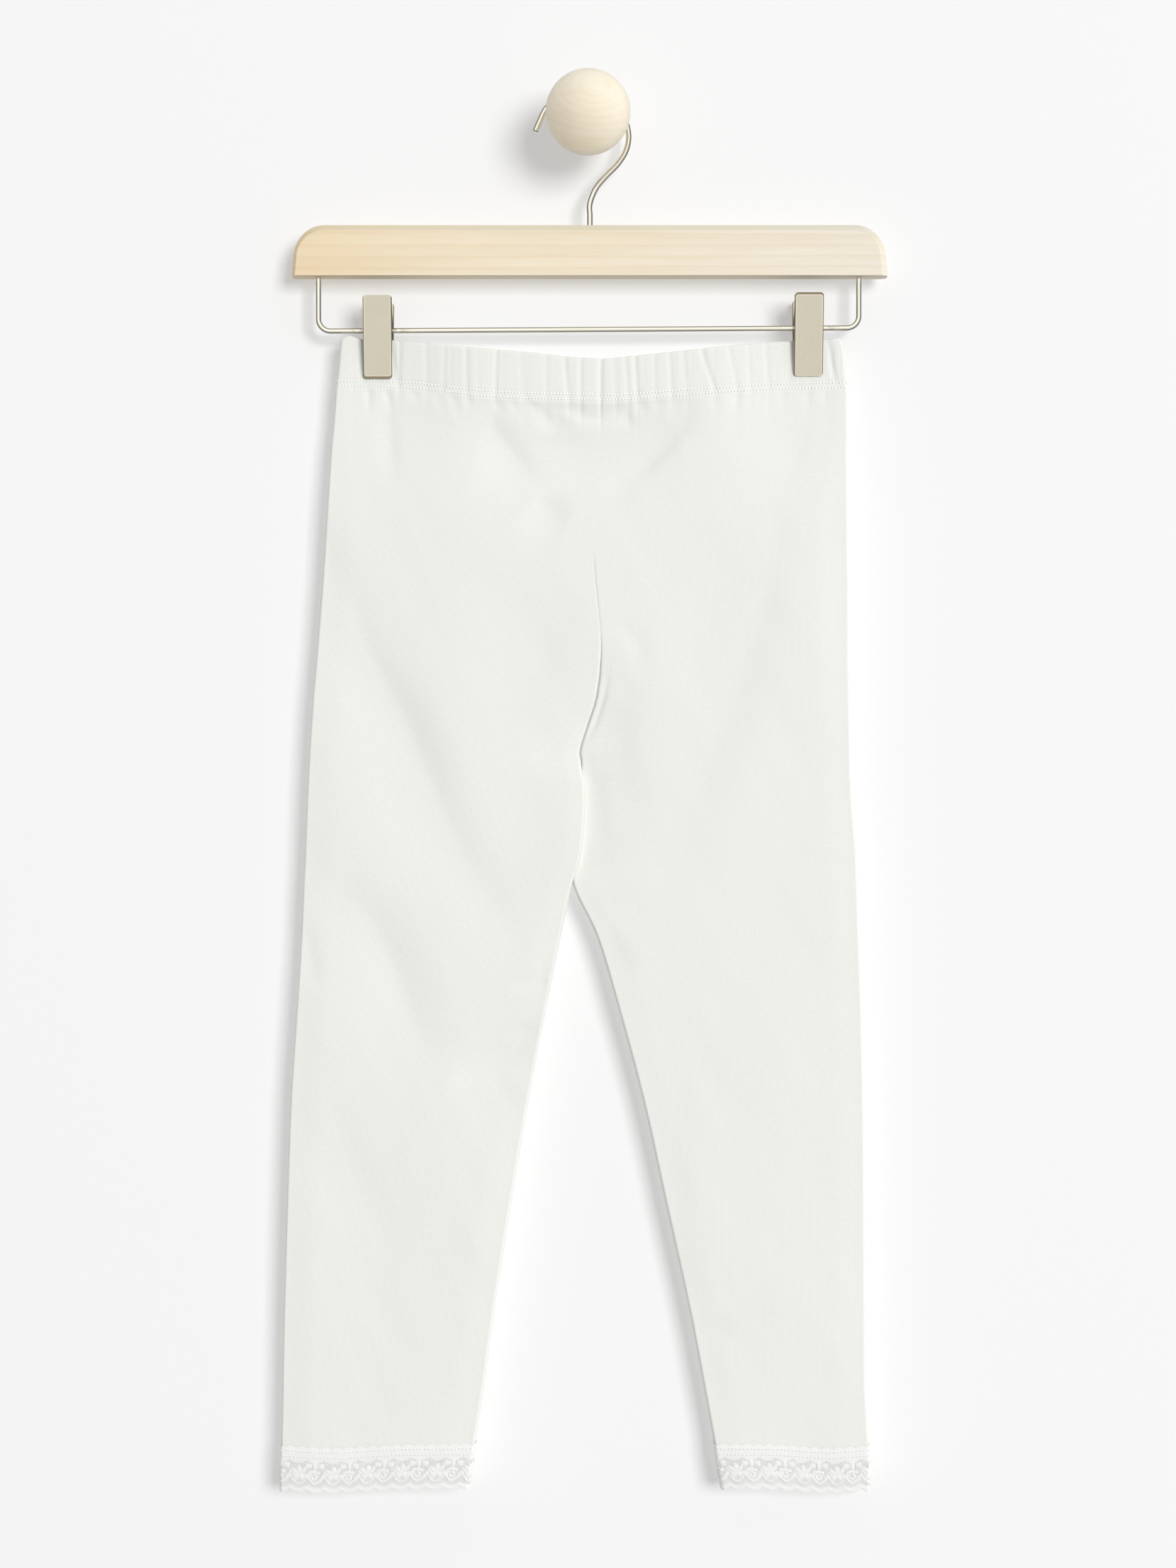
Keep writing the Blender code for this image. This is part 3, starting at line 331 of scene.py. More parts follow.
# Short puckers that run down from the stitching
FRONT_PUCKERS = (
    # x0, z0, x1, z1, half width, depth
    (-128.2, -155.4, -128.2, -177.0, 2.5, 0.7), (-117.9, -156.2, -113.7, -176.2, 2.5, 0.9),
    (-102.5, -156.2, -98.7, -166.6, 2.1, 0.5), (-88.3, -157.9, -86.3, -168.7, 2.1, 0.6),
    (-78.8, -159.5, -73.8, -177.8, 2.9, 0.7), (-69.6, -160.4, -67.1, -172.8, 2.5, 0.6),
    (-53.8, -160.8, -48.0, -177.0, 2.5, 0.6), (-44.7, -161.6, -40.9, -172.8, 2.1, 0.5),
    (-35.1, -162.0, -30.1, -170.3, 2.1, 0.6), (31.4, -162.0, 34.3, -177.0, 2.5, 0.6),
    (41.8, -160.8, 40.9, -172.8, 2.1, 0.5), (53.4, -159.5, 49.7, -172.8, 2.5, 0.5),
    (72.5, -157.9, 70.5, -168.7, 2.1, 0.4), (87.5, -156.6, 83.3, -177.0, 3.3, 0.6),
    (102.1, -156.2, 99.1, -168.7, 2.1, 0.4), (114.5, -155.4, 112.4, -166.6, 2.1, 0.5),
    (129.1, -154.5, 126.6, -172.8, 2.5, 0.6), (139.5, -154.1, 137.4, -168.7, 2.1, 0.4),
)
BACK_PUCKERS = tuple(
    (-x0 + 4.0, z0, -x1 + 6.0, z1 - 2.0, width, depth)
    for x0, z0, x1, z1, width, depth in FRONT_PUCKERS
)

# Creases of the casing beside the clips
CASING_CREASES = (
    (((-134.1, -121.5), (-133.6, -134.6), (-132.8, -144.6), (-129.1, -154.0)), 1.1, 1.0,
      *PRESSED),
    (((-114.1, -124.0), (-113.3, -138.7), (-111.2, -156.0)), 1.4, 0.8, *PRESSED),
    (((140.4, -122.5), (142.4, -133.0), (144.0, -144.0), (147.5, -156.0)), 1.2, 0.8, *PRESSED),
    (((119.6, -124.0), (119.0, -140.0), (118.0, -156.0)), 1.4, 0.7, *PRESSED),
)

# Gentle swells that any hanging cloth has
SWELLS = (
    # wave length, height
    (0.110, 0.00030),
    (0.052, 0.00010),
    (0.023, 0.00004),
)
WAVES_PER_SWELL = 5
SWELL_TURNS = (-0.5, 0.9)
SWELL_STRETCHES = (0.8, 1.3)

# The hem hangs lowest about a quarter of the way in from the outer fold
HEM_SAG = 0.0023
HEM_SAG_AT = 0.27
HEM_SAG_WIDTH = 0.26
HEM_SAG_START_Z = -0.700

# Lace bands
LACE_TOP_Z = -0.7719
LACE_FOOT_Z = -0.7968
LACE_SCALLOPS = {"left": 24, "right": 20}
LACE_STANDOFF = 0.0007
LACE_STEP = 0.00042
LACE_ROWS = 74
LACE_SCALLOP_DEPTH = 0.0020
LACE_TOP_SCALLOP_DEPTH = 0.0010
LACE_RELIEF = 0.00035
LACE_TOP_SCALLOP_RATE = 1.5
LACE_PICOT_PITCH = 0.00115
LACE_TOP_PICOT = 0.00025
LACE_FOOT_PICOT = 0.00042
LACE_CORD_AT = 0.0016
LACE_CORD_WIDTH = 0.0013
LACE_TOP_CORD_AT = 0.0009
LACE_PLAIN_FROM = 0.0165
LACE_PLAIN_BLEND = 0.0025
LACE_LIFT_AT_TOP = 0.35
LACE_LIFT_REACH = 0.004
SCALLOPS_PER_FIGURE = 2
RING_STEPS = 1200
LACE_STITCH_ROWS = (
    # level, offset along the row in stitches
    (-0.7746, 0.0),
    (-0.7779, 0.5),
)
LACE_STITCH_PITCH = 0.0022
LACE_STITCH_SIZE = (0.0015, 0.0006, 0.0006)
LACE_STITCH_LIFT = 0.00025
LACE_STITCH_FACING = 0.4
STITCH_RING_STEPS = 800

# Figure of the lace, in millimetres from its middle and up from the lace's edge
PETALS = 5
PETAL_REACH = 2.5
PETAL_SIZE = (2.2, 1.45)
FLOWER_MIDDLE = (-4.6, 11.6)
FLOWER_EYE = (0.95, 0.95)
LEAF_SIZE = (2.9, 1.25)
EYE_RELIEF = 0.9
LEAF_RELIEF = 0.85
FIGURE_SLOPE = 2.2
COVER_SLOPE = 6.0
COVER_MARGIN = 0.4
LACE_LEAVES = (
    # middle, turn
    ((0.6, 14.6), 0.7),
    ((0.4, 8.2), -0.6),
    ((8.9, 14.8), 2.4),
    ((9.0, 8.0), -2.5),
    ((4.8, 16.6), 1.57),
)
LACE_SCROLLS = (
    # middle, radius, half width, start, end, relief
    ((4.6, 9.4), 3.3, 0.75, 0.5, 5.6, 0.8),
    ((4.4, 9.8), 1.4, 0.65, 2.4, 7.9, 0.8),
    ((-9.6, 8.6), 2.4, 0.7, -1.2, 3.6, 0.75),
    ((-4.6, 11.2), 5.6, 0.6, 3.4, 6.0, 0.75),
)


def metres(row):
    """The lengths of a table's row in metres."""
    return [value * MM for value in row]


def smooth_values(table, keys, column):
    """Read one column of a table at many keys in metres, on a smooth curve through its rows."""
    rows = np.array(table) * MM
    if rows[0, 0] > rows[-1, 0]:
        rows = rows[::-1]
    knots, values = rows[:, 0], rows[:, column]
    order = np.arange(len(knots))
    before = np.maximum(order - 1, 0)
    after = np.minimum(order + 1, len(knots) - 1)
    slopes = (values[after] - values[before]) / (knots[after] - knots[before])
    spot = np.clip(np.searchsorted(knots, keys) - 1, 0, len(knots) - 2)
    reach = knots[spot + 1] - knots[spot]
    share = np.clip((keys - knots[spot]) / reach, 0.0, 1.0)
    square, cube = share**2, share**3
    return (
        values[spot] * (2 * cube - 3 * square + 1)
        + slopes[spot] * reach * (cube - 2 * square + share)
        + values[spot + 1] * (3 * square - 2 * cube)
        + slopes[spot + 1] * reach * (cube - square)
    )


def ease(value):
    """Rise smoothly from 0 to 1."""
    share = np.clip(value, 0.0, 1.0)
    return share * share * (3.0 - 2.0 * share)


def bell(distance, width, power=2.0):
    """1 in the middle, falling to nothing beyond a width; a lower power falls in a sharper peak."""
    return np.exp(-(np.abs(distance / width) ** power))


def edge_round(distance, radius):
    """Height of a quarter ellipse that starts at a folded edge."""
    share = np.clip(distance / radius, 0.0, 1.0)
    return np.sqrt(share * (2.0 - share))


def crowded(share, amount):
    """Move even shares toward both ends, by an amount from 0 to 1."""
    return (1.0 - amount) * share + amount * (1.0 - np.cos(np.pi * share)) / 2.0


def folded_edge(distance, reach):
    """Rise of flat cloth from a pressed fold: steep at first, then gentle."""
    steep = edge_round(distance, FOLD_RADIUS)
    return FOLD_BITE * steep + (1.0 - FOLD_BITE) * ease(distance / reach)


def smooth_route(points, steps):
    """Points along a smooth curve through a route, in as many dimensions as it has."""
    knots = np.array(points, float)
    route = []
    for spot in range(len(knots) - 1):
        before = knots[max(spot - 1, 0)]
        start = knots[spot]
        end = knots[spot + 1]
        after = knots[min(spot + 2, len(knots) - 1)]
        for step in range(steps):
            t = step / steps
            route.append(
                0.5
                * (
                    2 * start
                    + (end - before) * t
                    + (2 * before - 5 * start + 4 * end - after) * t * t
                    + (3 * start - before - 3 * end + after) * t**3
                )
            )
    route.append(knots[-1])
    return np.array(route)


def fold_depth(folds, x, z):
    """How far folds along routes push the cloth in, at many points."""
    total = np.zeros_like(x)
    for route, width, depth, crispness, lean in folds:
        width, depth = width * MM, depth * MM
        line = smooth_route(route, FOLD_STEPS) * MM
        ahead = np.gradient(line, axis=0)
        ahead /= np.linalg.norm(ahead, axis=1, keepdims=True)
        across = np.stack([-ahead[:, 1], ahead[:, 0]], -1)
        toward = across @ np.array(LIGHT_LEAN) * math.copysign(1.0, depth)
        line = line - across * (toward * SHADE_OFFSET * (crispness - 1.0) * width)[:, None]
        reach = FOLD_REACH * width * (1.0 + lean)
        low, high = line.min(0) - reach, line.max(0) + reach
        near = (x > low[0]) & (x < high[0]) & (z > low[1]) & (z < high[1])
        if not near.any():
            continue
        spots = np.stack([x[near], z[near]], -1)
        spans = np.diff(line, axis=0)
        lengths = np.hypot(spans[:, 0], spans[:, 1])
        rel = spots[:, None, :] - line[None, :-1]
        along = np.clip((rel * spans).sum(-1) / lengths**2, 0.0, 1.0)
        gap = rel - along[..., None] * spans
        away = np.hypot(gap[..., 0], gap[..., 1])
        best = away.argmin(1)
        row = np.arange(len(best))
        distance = away[row, best]
        turned = spans[best, 0] * rel[row, best, 1] - spans[best, 1] * rel[row, best, 0]
        travelled = np.concatenate([[0.0], np.cumsum(lengths)[:-1]])
        share = (travelled[best] + along[row, best] * lengths[best]) / lengths.sum()
        inner_share = FADE_START + (1.0 - 2 * FADE_START) * share
        fading = np.sin(np.pi * inner_share) ** FADE_POWER
        shaded = turned * toward[best] > 0.0
        spread = np.where(shaded, width, width * (1.0 + lean))
        power = np.where(shaded, crispness, LIT_CRISPNESS)
        total[near] += depth * fading * bell(distance, spread, power)
    return total


def pucker_depth(puckers, x, z):
    """How far short puckers push the cloth in, deepest at the stitching."""
    total = np.zeros_like(x)
    for row in puckers:
        x0, z0, x1, z1, width, depth = metres(row)
        share = (z0 - z) / (z0 - z1)
        middle = x0 + (x1 - x0) * np.clip(share, 0.0, 1.0)
        total += depth * ease(1.0 - share) * bell(x - middle, width, PUCKER_CRISPNESS)
    return total


def swells(x, z, seed):
    """The slight unevenness of hanging cloth."""
    random = np.random.default_rng(SEED + seed)
    total = np.zeros_like(x)
    for wave_length, height in SWELLS:
        for _ in range(WAVES_PER_SWELL):
            turn = random.uniform(*SWELL_TURNS)
            start = random.uniform(0.0, 2 * np.pi)
            stretch = wave_length * random.uniform(*SWELL_STRETCHES)
            across = x * np.cos(turn) + z * np.sin(turn)
            total += height / WAVES_PER_SWELL**0.5 * np.sin(across * 2 * np.pi / stretch + start)
    return total


def casing_half_depth(x):
    """Half the depth of the waistband, pressed flat where the clips hold it."""
    pinch = np.zeros_like(x)
    for centre in CLIP_CENTRES_X:
        beyond = np.abs(x - centre) - JAW_WIDTH / 2
        pinch = np.maximum(pinch, 1.0 - ease(beyond / PINCH_SPREAD))
    return CASING_HALF_DEPTH + (CASING_HALF_DEPTH_AT_CLIP - CASING_HALF_DEPTH) * pinch


def gather_tables():
    """All gathers of the casing's front and back as x at top and foot, width, depth."""
    random = np.random.default_rng(SEED)
    tables = {"front": [metres(row) for row in FRONT_GATHERS], "back": []}
    start, end = BACK_GATHER_SPAN
    for number in range(BACK_GATHER_COUNT):
        x = start + (end - start) * (number + 0.5) / BACK_GATHER_COUNT
        x += random.uniform(-BACK_GATHER_SHIFT, BACK_GATHER_SHIFT)
        depth = BACK_GATHER_DEPTH * random.uniform(0.6, 1.4)
        lean = random.uniform(-GATHER_LEAN, GATHER_LEAN)
        tables["back"].append((x, x + lean, BACK_GATHER_WIDTH, depth))
    start, end = FINE_GATHER_SPAN
    for layer in ("front", "back"):
        for number in range(FINE_GATHER_COUNT):
            x = start + (end - start) * (number + random.uniform(0.1, 0.9)) / FINE_GATHER_COUNT
            depth = FINE_GATHER_DEPTH * random.uniform(0.3, 1.5)
            lean = random.uniform(-GATHER_LEAN, GATHER_LEAN)
            tables[layer].append((x, x + lean, FINE_GATHER_WIDTH, depth))
    return tables


GATHERS = gather_tables()


def gather_depth(x, share, layer):
    """How far the casing's gathers draw its wall in, share 0 at the top and 1 at the foot."""
    total = np.zeros_like(x)
    for top_x, foot_x, width, depth in GATHERS[layer]:
        middle = top_x + (foot_x - top_x) * share
        total += depth * bell(x - middle, width, GATHER_CRISPNESS)
    return total


def stitch_groove(below_foot):
    """How far both rows of stitching draw the cloth in, at a distance below the casing's foot."""
    rows = (bell(below_foot + gap, STITCH_GROOVE_WIDTH) for gap in (0.0, STITCH_ROW_GAP))
    return STITCH_GROOVE_DEPTH * sum(rows)


def leg_edges(side, z):
    """Outer and inner x of a leg at many heights."""
    gap = smooth_values(RISE_SEAM, z, 1)
    if side == "left":
        return smooth_values(SECTIONS, z, 1), smooth_values(SECTIONS, z, 2) - gap
    return smooth_values(SECTIONS, z, 4), smooth_values(SECTIONS, z, 3) + gap


def leg_surface(side, z, around):
    """Points on the outside of a leg, as arrays of x, y and z.

    around runs from 0 at the front's inner edge to 1 at the outer fold and 2 at the back's
    inner edge.
    """
    outer, inner = leg_edges(side, z)
    front = around <= 1.0
    share = np.where(front, around, 2.0 - around)
    x = inner + (outer - inner) * crowded(share, LEG_CROWDING)
    from_outer = np.abs(outer - x)
    from_inner = np.abs(x - inner)

    foot = smooth_values(CASING_FOOT, x, 1)
    drop = ease((SEAM_TOP_Z - z) / CASING_INFLUENCE)
    closing = ease((CLOSING_START_Z - z) / (CLOSING_START_Z - CROTCH_Z))
    spread = ease((CROTCH_Z - z) / (CROTCH_Z - GAP_APEX_Z) / 2)
    near_casing = casing_half_depth(x)
    half = near_casing + (smooth_values(SECTIONS, z, 5) - near_casing) * drop
    thinning = CROTCH_THINNING * closing * (1.0 - spread)
    half = half * (1.0 - thinning * bell(from_inner, CROTCH_THIN_REACH))

    outer_round = OUTER_ROUND_TOP + (OUTER_ROUND - OUTER_ROUND_TOP) * drop
    inner_round = INNER_ROUND_CROTCH + (INNER_ROUND - INNER_ROUND_CROTCH) * spread
    swell = folded_edge(from_outer, outer_round)
    swell = swell * (1.0 - closing * (1.0 - folded_edge(from_inner, inner_round)))

    placed_z = z + (foot - SEAM_TOP_Z) * (1.0 - drop)
    hem_weight = ease((HEM_SAG_START_Z - z) / (HEM_SAG_START_Z - HEM_Z))
    across = (outer - x) / (outer - inner)
    placed_z -= HEM_SAG * hem_weight * bell(across - HEM_SAG_AT, HEM_SAG_WIDTH)

    below_foot = foot - placed_z
    pushed = np.zeros_like(x)
    for layer, folds, puckers, chosen in (
        ("front", FRONT_FOLDS, FRONT_PUCKERS, front),
        ("back", BACK_FOLDS, BACK_PUCKERS, ~front),
    ):
        depth = fold_depth(folds, x, placed_z) + pucker_depth(puckers, x, placed_z)
        depth *= ease(below_foot / FOLD_START)
        kept = bell(below_foot, GATHER_FADE, GATHER_FADE_POWER)
        depth += gather_depth(x, 1.0, layer) * kept
        depth += swells(x, placed_z, len(layer)) * drop
        pushed = np.where(chosen, depth, pushed)
    pushed += stitch_groove(below_foot)
    in_seam = smooth_values(RISE_SEAM, z, 2) * bell(from_inner, RISE_SEAM_WIDTH)
    pushed += in_seam * (1.0 - spread)

    middle = smooth_values(OVERLAP_SHIFT, z, 1) * bell(from_inner, OVERLAP_REACH)
    if side == "left":
        middle = -middle
    out = np.maximum(half * swell - pushed * swell, 0.0)
    y = HANG_Y + middle + np.where(front, -out, out)
    return np.stack([x, y, placed_z], -1)


def level_outward(points, closed=False):
    """The level direction out of a surface whose columns run with the outside on their right."""
    if closed:
        along = np.roll(points, -1, axis=1) - np.roll(points, 1, axis=1)
    else:
        along = np.gradient(points, axis=1)
    outward = np.stack([along[..., 1], -along[..., 0], np.zeros_like(along[..., 0])], -1)
    return outward / np.maximum(np.linalg.norm(outward, axis=-1, keepdims=True), 1e-9)


def closed_outward(points):
    """The level direction out of a closed surface, whose last column repeats its first."""
    outward = level_outward(points[:, :-1], closed=True)
    return np.concatenate([outward, outward[:, :1]], axis=1)


def round_leg(side, steps):
    """Turns round a leg, in the order that keeps the outside on their right."""
    turns = np.linspace(0.0, 2.0, steps + 1)
    return turns[::-1] if side == "left" else turns


def finished(build, name):
    """A new mesh from what was built."""
    mesh = bpy.data.meshes.new(name)
    build.to_mesh(mesh)
    build.free()
    return mesh


def grid_object(name, points, lengths_u, lengths_v, closed, material, attributes=None):
    """A smooth sheet whose corners are an array of points, with its UV map in metres."""
    rows, columns = points.shape[:2]
    build = bmesh.new()
    bmesh.ops.create_grid(build, x_segments=columns - 1, y_segments=rows - 1, size=0.5)
    mesh = finished(build, name)
    flat = np.empty(len(mesh.vertices) * 3, np.float32)
    mesh.vertices.foreach_get("co", flat)
    flat = flat.reshape(-1, 3)
    column = np.rint((flat[:, 0] + 0.5) * (columns - 1)).astype(int)
    row = np.rint((0.5 - flat[:, 1]) * (rows - 1)).astype(int)
    mesh.vertices.foreach_set("co", points[row, column].astype(np.float32).ravel())
    for label, values in (attributes or {}).items():
        layer = mesh.attributes.new(label, "FLOAT", "POINT")
        layer.data.foreach_set("value", values[row, column].astype(np.float32))
    corner = np.empty(len(mesh.loops), np.int32)
    mesh.loops.foreach_get("vertex_index", corner)
    places = np.stack([lengths_u[row, column], lengths_v[row, column]], -1)
    uv = mesh.uv_layers.new(name="cloth")
    uv.data.foreach_set("uv", places[corner].astype(np.float32).ravel())
    if closed:
        build = bmesh.new()
        build.from_mesh(mesh)
        bmesh.ops.remove_doubles(build, verts=build.verts, dist=MERGE_DISTANCE)
        build.to_mesh(mesh)
        build.free()
    return smooth_piece(name, mesh, material)


def link(name, data):
    """Put an object into the scene."""
    obj = bpy.data.objects.new(name, data)
    bpy.context.scene.collection.objects.link(obj)
    return obj


def smooth_piece(name, mesh, material):
    """Put a smoothly shaded mesh into the scene."""
    mesh.shade_smooth()
    mesh.materials.append(material)
    return link(name, mesh)


def run_along(line):
    """Distance along a line of points."""
    return np.concatenate([[0.0], np.cumsum(np.linalg.norm(np.diff(line, axis=0), axis=1))])


def run_lengths(points):
    """Distance along the columns and down the rows of a grid of points."""
    across = np.linalg.norm(np.diff(points, axis=1), axis=-1)
    across = np.concatenate([np.zeros((len(points), 1)), np.cumsum(across, axis=1)], axis=1)
    across -= across.mean(axis=1, keepdims=True) - across.mean()
    down = np.linalg.norm(np.diff(points, axis=0), axis=-1)
    down = np.concatenate([np.zeros((1, points.shape[1])), np.cumsum(down, axis=0)], axis=0)
    return across, down


def spaced(stretches):
    """Levels that follow stretches of even spacing."""
    levels = [stretches[0][0]]
    for start, end, spacing in stretches:
        count = max(1, round(abs(end - start) / spacing))
        levels += list(np.linspace(start, end, count + 1)[1:])
    return np.array(levels)


def leg_shell(side, material):
    """The cloth of one leg and its half of the seat, turned in along the seams and the hem."""
    levels = spaced(ROW_STRETCHES)
    z, turn = np.meshgrid(levels, round_leg(side, LEG_COLUMNS), indexing="ij")
    points = leg_surface(side, z.ravel(), turn.ravel()).reshape(*z.shape, 3)
    outward = level_outward(points)
    first = [points[:, :1] - outward[:, :1] * inset for inset in reversed(SEAM_RETURN)]
    last = [points[:, -1:] - outward[:, -1:] * inset for inset in SEAM_RETURN]
    wide = np.concatenate([*first, points, *last], axis=1)
    wide_outward = np.pad(outward, ((0, 0), (len(first), len(last)), (0, 0)), mode="edge")
    returns = []
    for below, inset in HEM_RETURN:
        row = wide[-1:] - wide_outward[-1:] * inset
        row[..., 2] -= below
        returns.append(row)
    wide = np.concatenate([wide, *returns], axis=0)
    across, down = run_lengths(wide)
    shell = grid_object("leg_shell_" + side, wide, across, down, False, material)
    shell.data.set_sharp_from_angle(angle=TURNED_EDGE_ANGLE)
    return shell


def casing_surface(x, layer, share):
    """Points on the outside of the casing, share 0 at its top edge and 1 at its foot."""
    z_top = smooth_values(WAIST_TOP, x, 1) - TOP_DIP_SHARE * gather_depth(x, 0.0, layer)
    z_foot = smooth_values(CASING_FOOT, x, 1)
    z = z_top + (z_foot - z_top) * share
    left = smooth_values(CASING_ENDS_X, z, 1)
    right = smooth_values(CASING_ENDS_X, z, 2)
    placed = np.clip(x, left, right)
    swell = folded_edge(np.minimum(placed - left, right - placed), CASING_END_ROUND)
    pushed = gather_depth(placed, share, layer)
    if layer == "front":
        pushed += fold_depth(CASING_CREASES, placed, z)
    pushed += stitch_groove(z_foot - z)
    half = (casing_half_depth(placed) - pushed) * swell
    y = HANG_Y - half if layer == "front" else HANG_Y + half
    return np.stack([placed, y, z], -1)


def casing_ring(share, columns):
    """One ring round the casing, from the left fold along the front and back behind."""
    turn = np.linspace(0.0, 2.0, columns + 1)
    left, right = metres(CASING_ENDS_X[-1][1:])
    front = turn <= 1.0
    mixed = crowded(np.where(front, turn, 2.0 - turn), CASING_CROWDING)
    spot = left + (right - left) * mixed
    z_guess = smooth_values(WAIST_TOP, spot, 1) * (1 - share)
    z_guess = z_guess + smooth_values(CASING_FOOT, spot, 1) * share
    low = smooth_values(CASING_ENDS_X, z_guess, 1)
    high = smooth_values(CASING_ENDS_X, z_guess, 2)
    x = low + (high - low) * mixed
    return np.where(
        front[:, None], casing_surface(x, "front", share), casing_surface(x, "back", share)
    )


CASING_COLUMNS = 620
CASING_OUTSIDE_SHARES = np.linspace(1.0, 0.05, 30)
CASING_TOP_STEPS = 7
CASING_INSIDE_SHARES = np.linspace(0.12, 1.0, 9)


def casing_shell(material):
    """The folded casing: up the outside, over the top edge and down the inside."""
    rings = [casing_ring(share, CASING_COLUMNS) for share in CASING_OUTSIDE_SHARES]
    outside = np.stack(rings, 0)
    top, top_outward = outside[-1], closed_outward(outside)[-1]
    peak = casing_ring(0.0, CASING_COLUMNS)[:, 2]
    room = np.abs(top[:, 1] - HANG_Y)
    wall = np.minimum(CASING_WALL, INSIDE_ROOM_SHARE * room + INSIDE_ROOM_SPARE)[:, None]
    over = []
    for step in range(1, CASING_TOP_STEPS + 1):
        angle = math.pi * step / CASING_TOP_STEPS
        row = top - top_outward * wall * (1.0 - math.cos(angle)) / 2.0
        row[:, 2] = top[:, 2] + (peak - top[:, 2]) * math.sin(angle)
        over.append(row)
    rings = [casing_ring(share, CASING_COLUMNS) for share in CASING_INSIDE_SHARES]
    inside = np.stack(rings, 0) - top_outward * wall
    points = np.concatenate([outside, np.stack(over, 0), inside], axis=0)
    across, down = run_lengths(points)
    return grid_object("waistband_shell", points[::-1], across[::-1], down[::-1], True, material)


def stitches(name, places, size, material):
    """Many stitches as one piece; each place is a point, the way along it and the way out."""
    build = bmesh.new()
    bmesh.ops.create_uvsphere(build, u_segments=8, v_segments=5, radius=0.5)
    template = finished(build, "stitch")
    build = bmesh.new()
    length, width, height = size
    for spot, along, out in places:
        side = out.cross(along).normalized()
        turn = Matrix((along * length, side * width, out * height)).transposed().to_4x4()
        turn.translation = spot
        before = len(build.verts)
        build.from_mesh(template)
        build.verts.ensure_lookup_table()
        bmesh.ops.transform(build, matrix=turn, verts=build.verts[before:])
    bpy.data.meshes.remove(template)
    return smooth_piece(name, finished(build, name), material)


def places_on_ring(ring, outward, pitch, lift, offset=0.0, slant=0.0):
    """Evenly spaced places along a closed ring of points, each turned by the slant."""
    run = run_along(ring)
    count = int(run[-1] / pitch)
    stops = (np.arange(count) + offset) * run[-1] / count

    def read(values, stops):
        return np.stack([np.interp(stops, run, values[:, axis]) for axis in range(3)], -1)

    ahead = read(ring, (stops + pitch / 3) % run[-1])
    places = []
    for spot, front, out in zip(read(ring, stops), ahead, read(outward, stops)):
        out = Vector(out).normalized()
        along = Vector(front - spot)
        along = (along - out * along.dot(out)).normalized()
        along = along * math.cos(slant) + out.cross(along) * math.sin(slant)
        places.append((Vector(spot) + out * lift, along, out))
    return places


def waist_stitching(material):
    """The twin rows of stitching that hold the casing down."""
    places = []
    height = (np.mean(WAIST_TOP, axis=0) - np.mean(CASING_FOOT, axis=0))[1] * MM
    for rise, offset in ((0.0, 0.0), (STITCH_ROW_GAP, 0.5)):
        ring = casing_ring(1.0 - rise / height, CASING_COLUMNS)
        ring[:, 2] = smooth_values(CASING_FOOT, ring[:, 0], 1) + rise
        outward = closed_outward(ring[None])[0]
        places += places_on_ring(ring, outward, STITCH_PITCH, STITCH_LIFT, offset, STITCH_SLANT)
    size = (STITCH_LENGTH, STITCH_WIDTH, STITCH_WIDTH * 0.8)
    return stitches("waist_stitching", places, size, material)


def ellipse(s, t, centre, size, turn):
    """A mask of 1 in the middle of a turned ellipse, falling to 0 at its rim."""
    ds, dt = s - centre[0], t - centre[1]
    along = ds * math.cos(turn) + dt * math.sin(turn)
    across = -ds * math.sin(turn) + dt * math.cos(turn)
    return 1.0 - np.sqrt((along / size[0]) ** 2 + (across / size[1]) ** 2)


def arc_band(s, t, centre, radius, width, start, end):
    """A mask of 1 in the middle of a curved cord, falling to 0 at its sides."""
    ds, dt = s - centre[0], t - centre[1]
    turn = np.mod(np.arctan2(dt, ds) - start, 2 * np.pi)
    inside = turn < (end - start)
    return np.where(inside, 1.0 - np.abs(np.hypot(ds, dt) - radius) / width, -1.0)


def lace_figure(s, t, period):
    """Relief and cover of a common floral lace, s along the band and t up from its edge.

    One figure is a flower, five leaves and four scrolls.
    """
    s = (np.mod(s + period / 2, period) - period / 2) / MM
    t = t / MM
    shapes = [(ellipse(s, t, FLOWER_MIDDLE, FLOWER_EYE, 0.0), EYE_RELIEF)]
    for petal in range(PETALS):
        turn = 2 * math.pi * petal / PETALS + math.pi / 2
        way = np.array((math.cos(turn), math.sin(turn)))
        centre = np.array(FLOWER_MIDDLE) + PETAL_REACH * way
        shapes.append((ellipse(s, t, centre, PETAL_SIZE, turn), 1.0))
    for centre, turn in LACE_LEAVES:
        shapes.append((ellipse(s, t, centre, LEAF_SIZE, turn), LEAF_RELIEF))
    for *scroll, height in LACE_SCROLLS:
        shapes.append((arc_band(s, t, *scroll), height))
    relief = np.zeros_like(s)
    cover = np.zeros_like(s)
    for mask, height in shapes:
        relief = np.maximum(relief, height * np.sqrt(np.clip(mask * FIGURE_SLOPE, 0.0, 1.0)))
        cover = np.maximum(cover, np.clip(mask * COVER_SLOPE + COVER_MARGIN, 0.0, 1.0))
    return relief, cover


def arches(along, pitch):
    """A row of arches from 0 to 1, one to each pitch."""
    return np.abs(np.sin(np.pi * along / pitch))


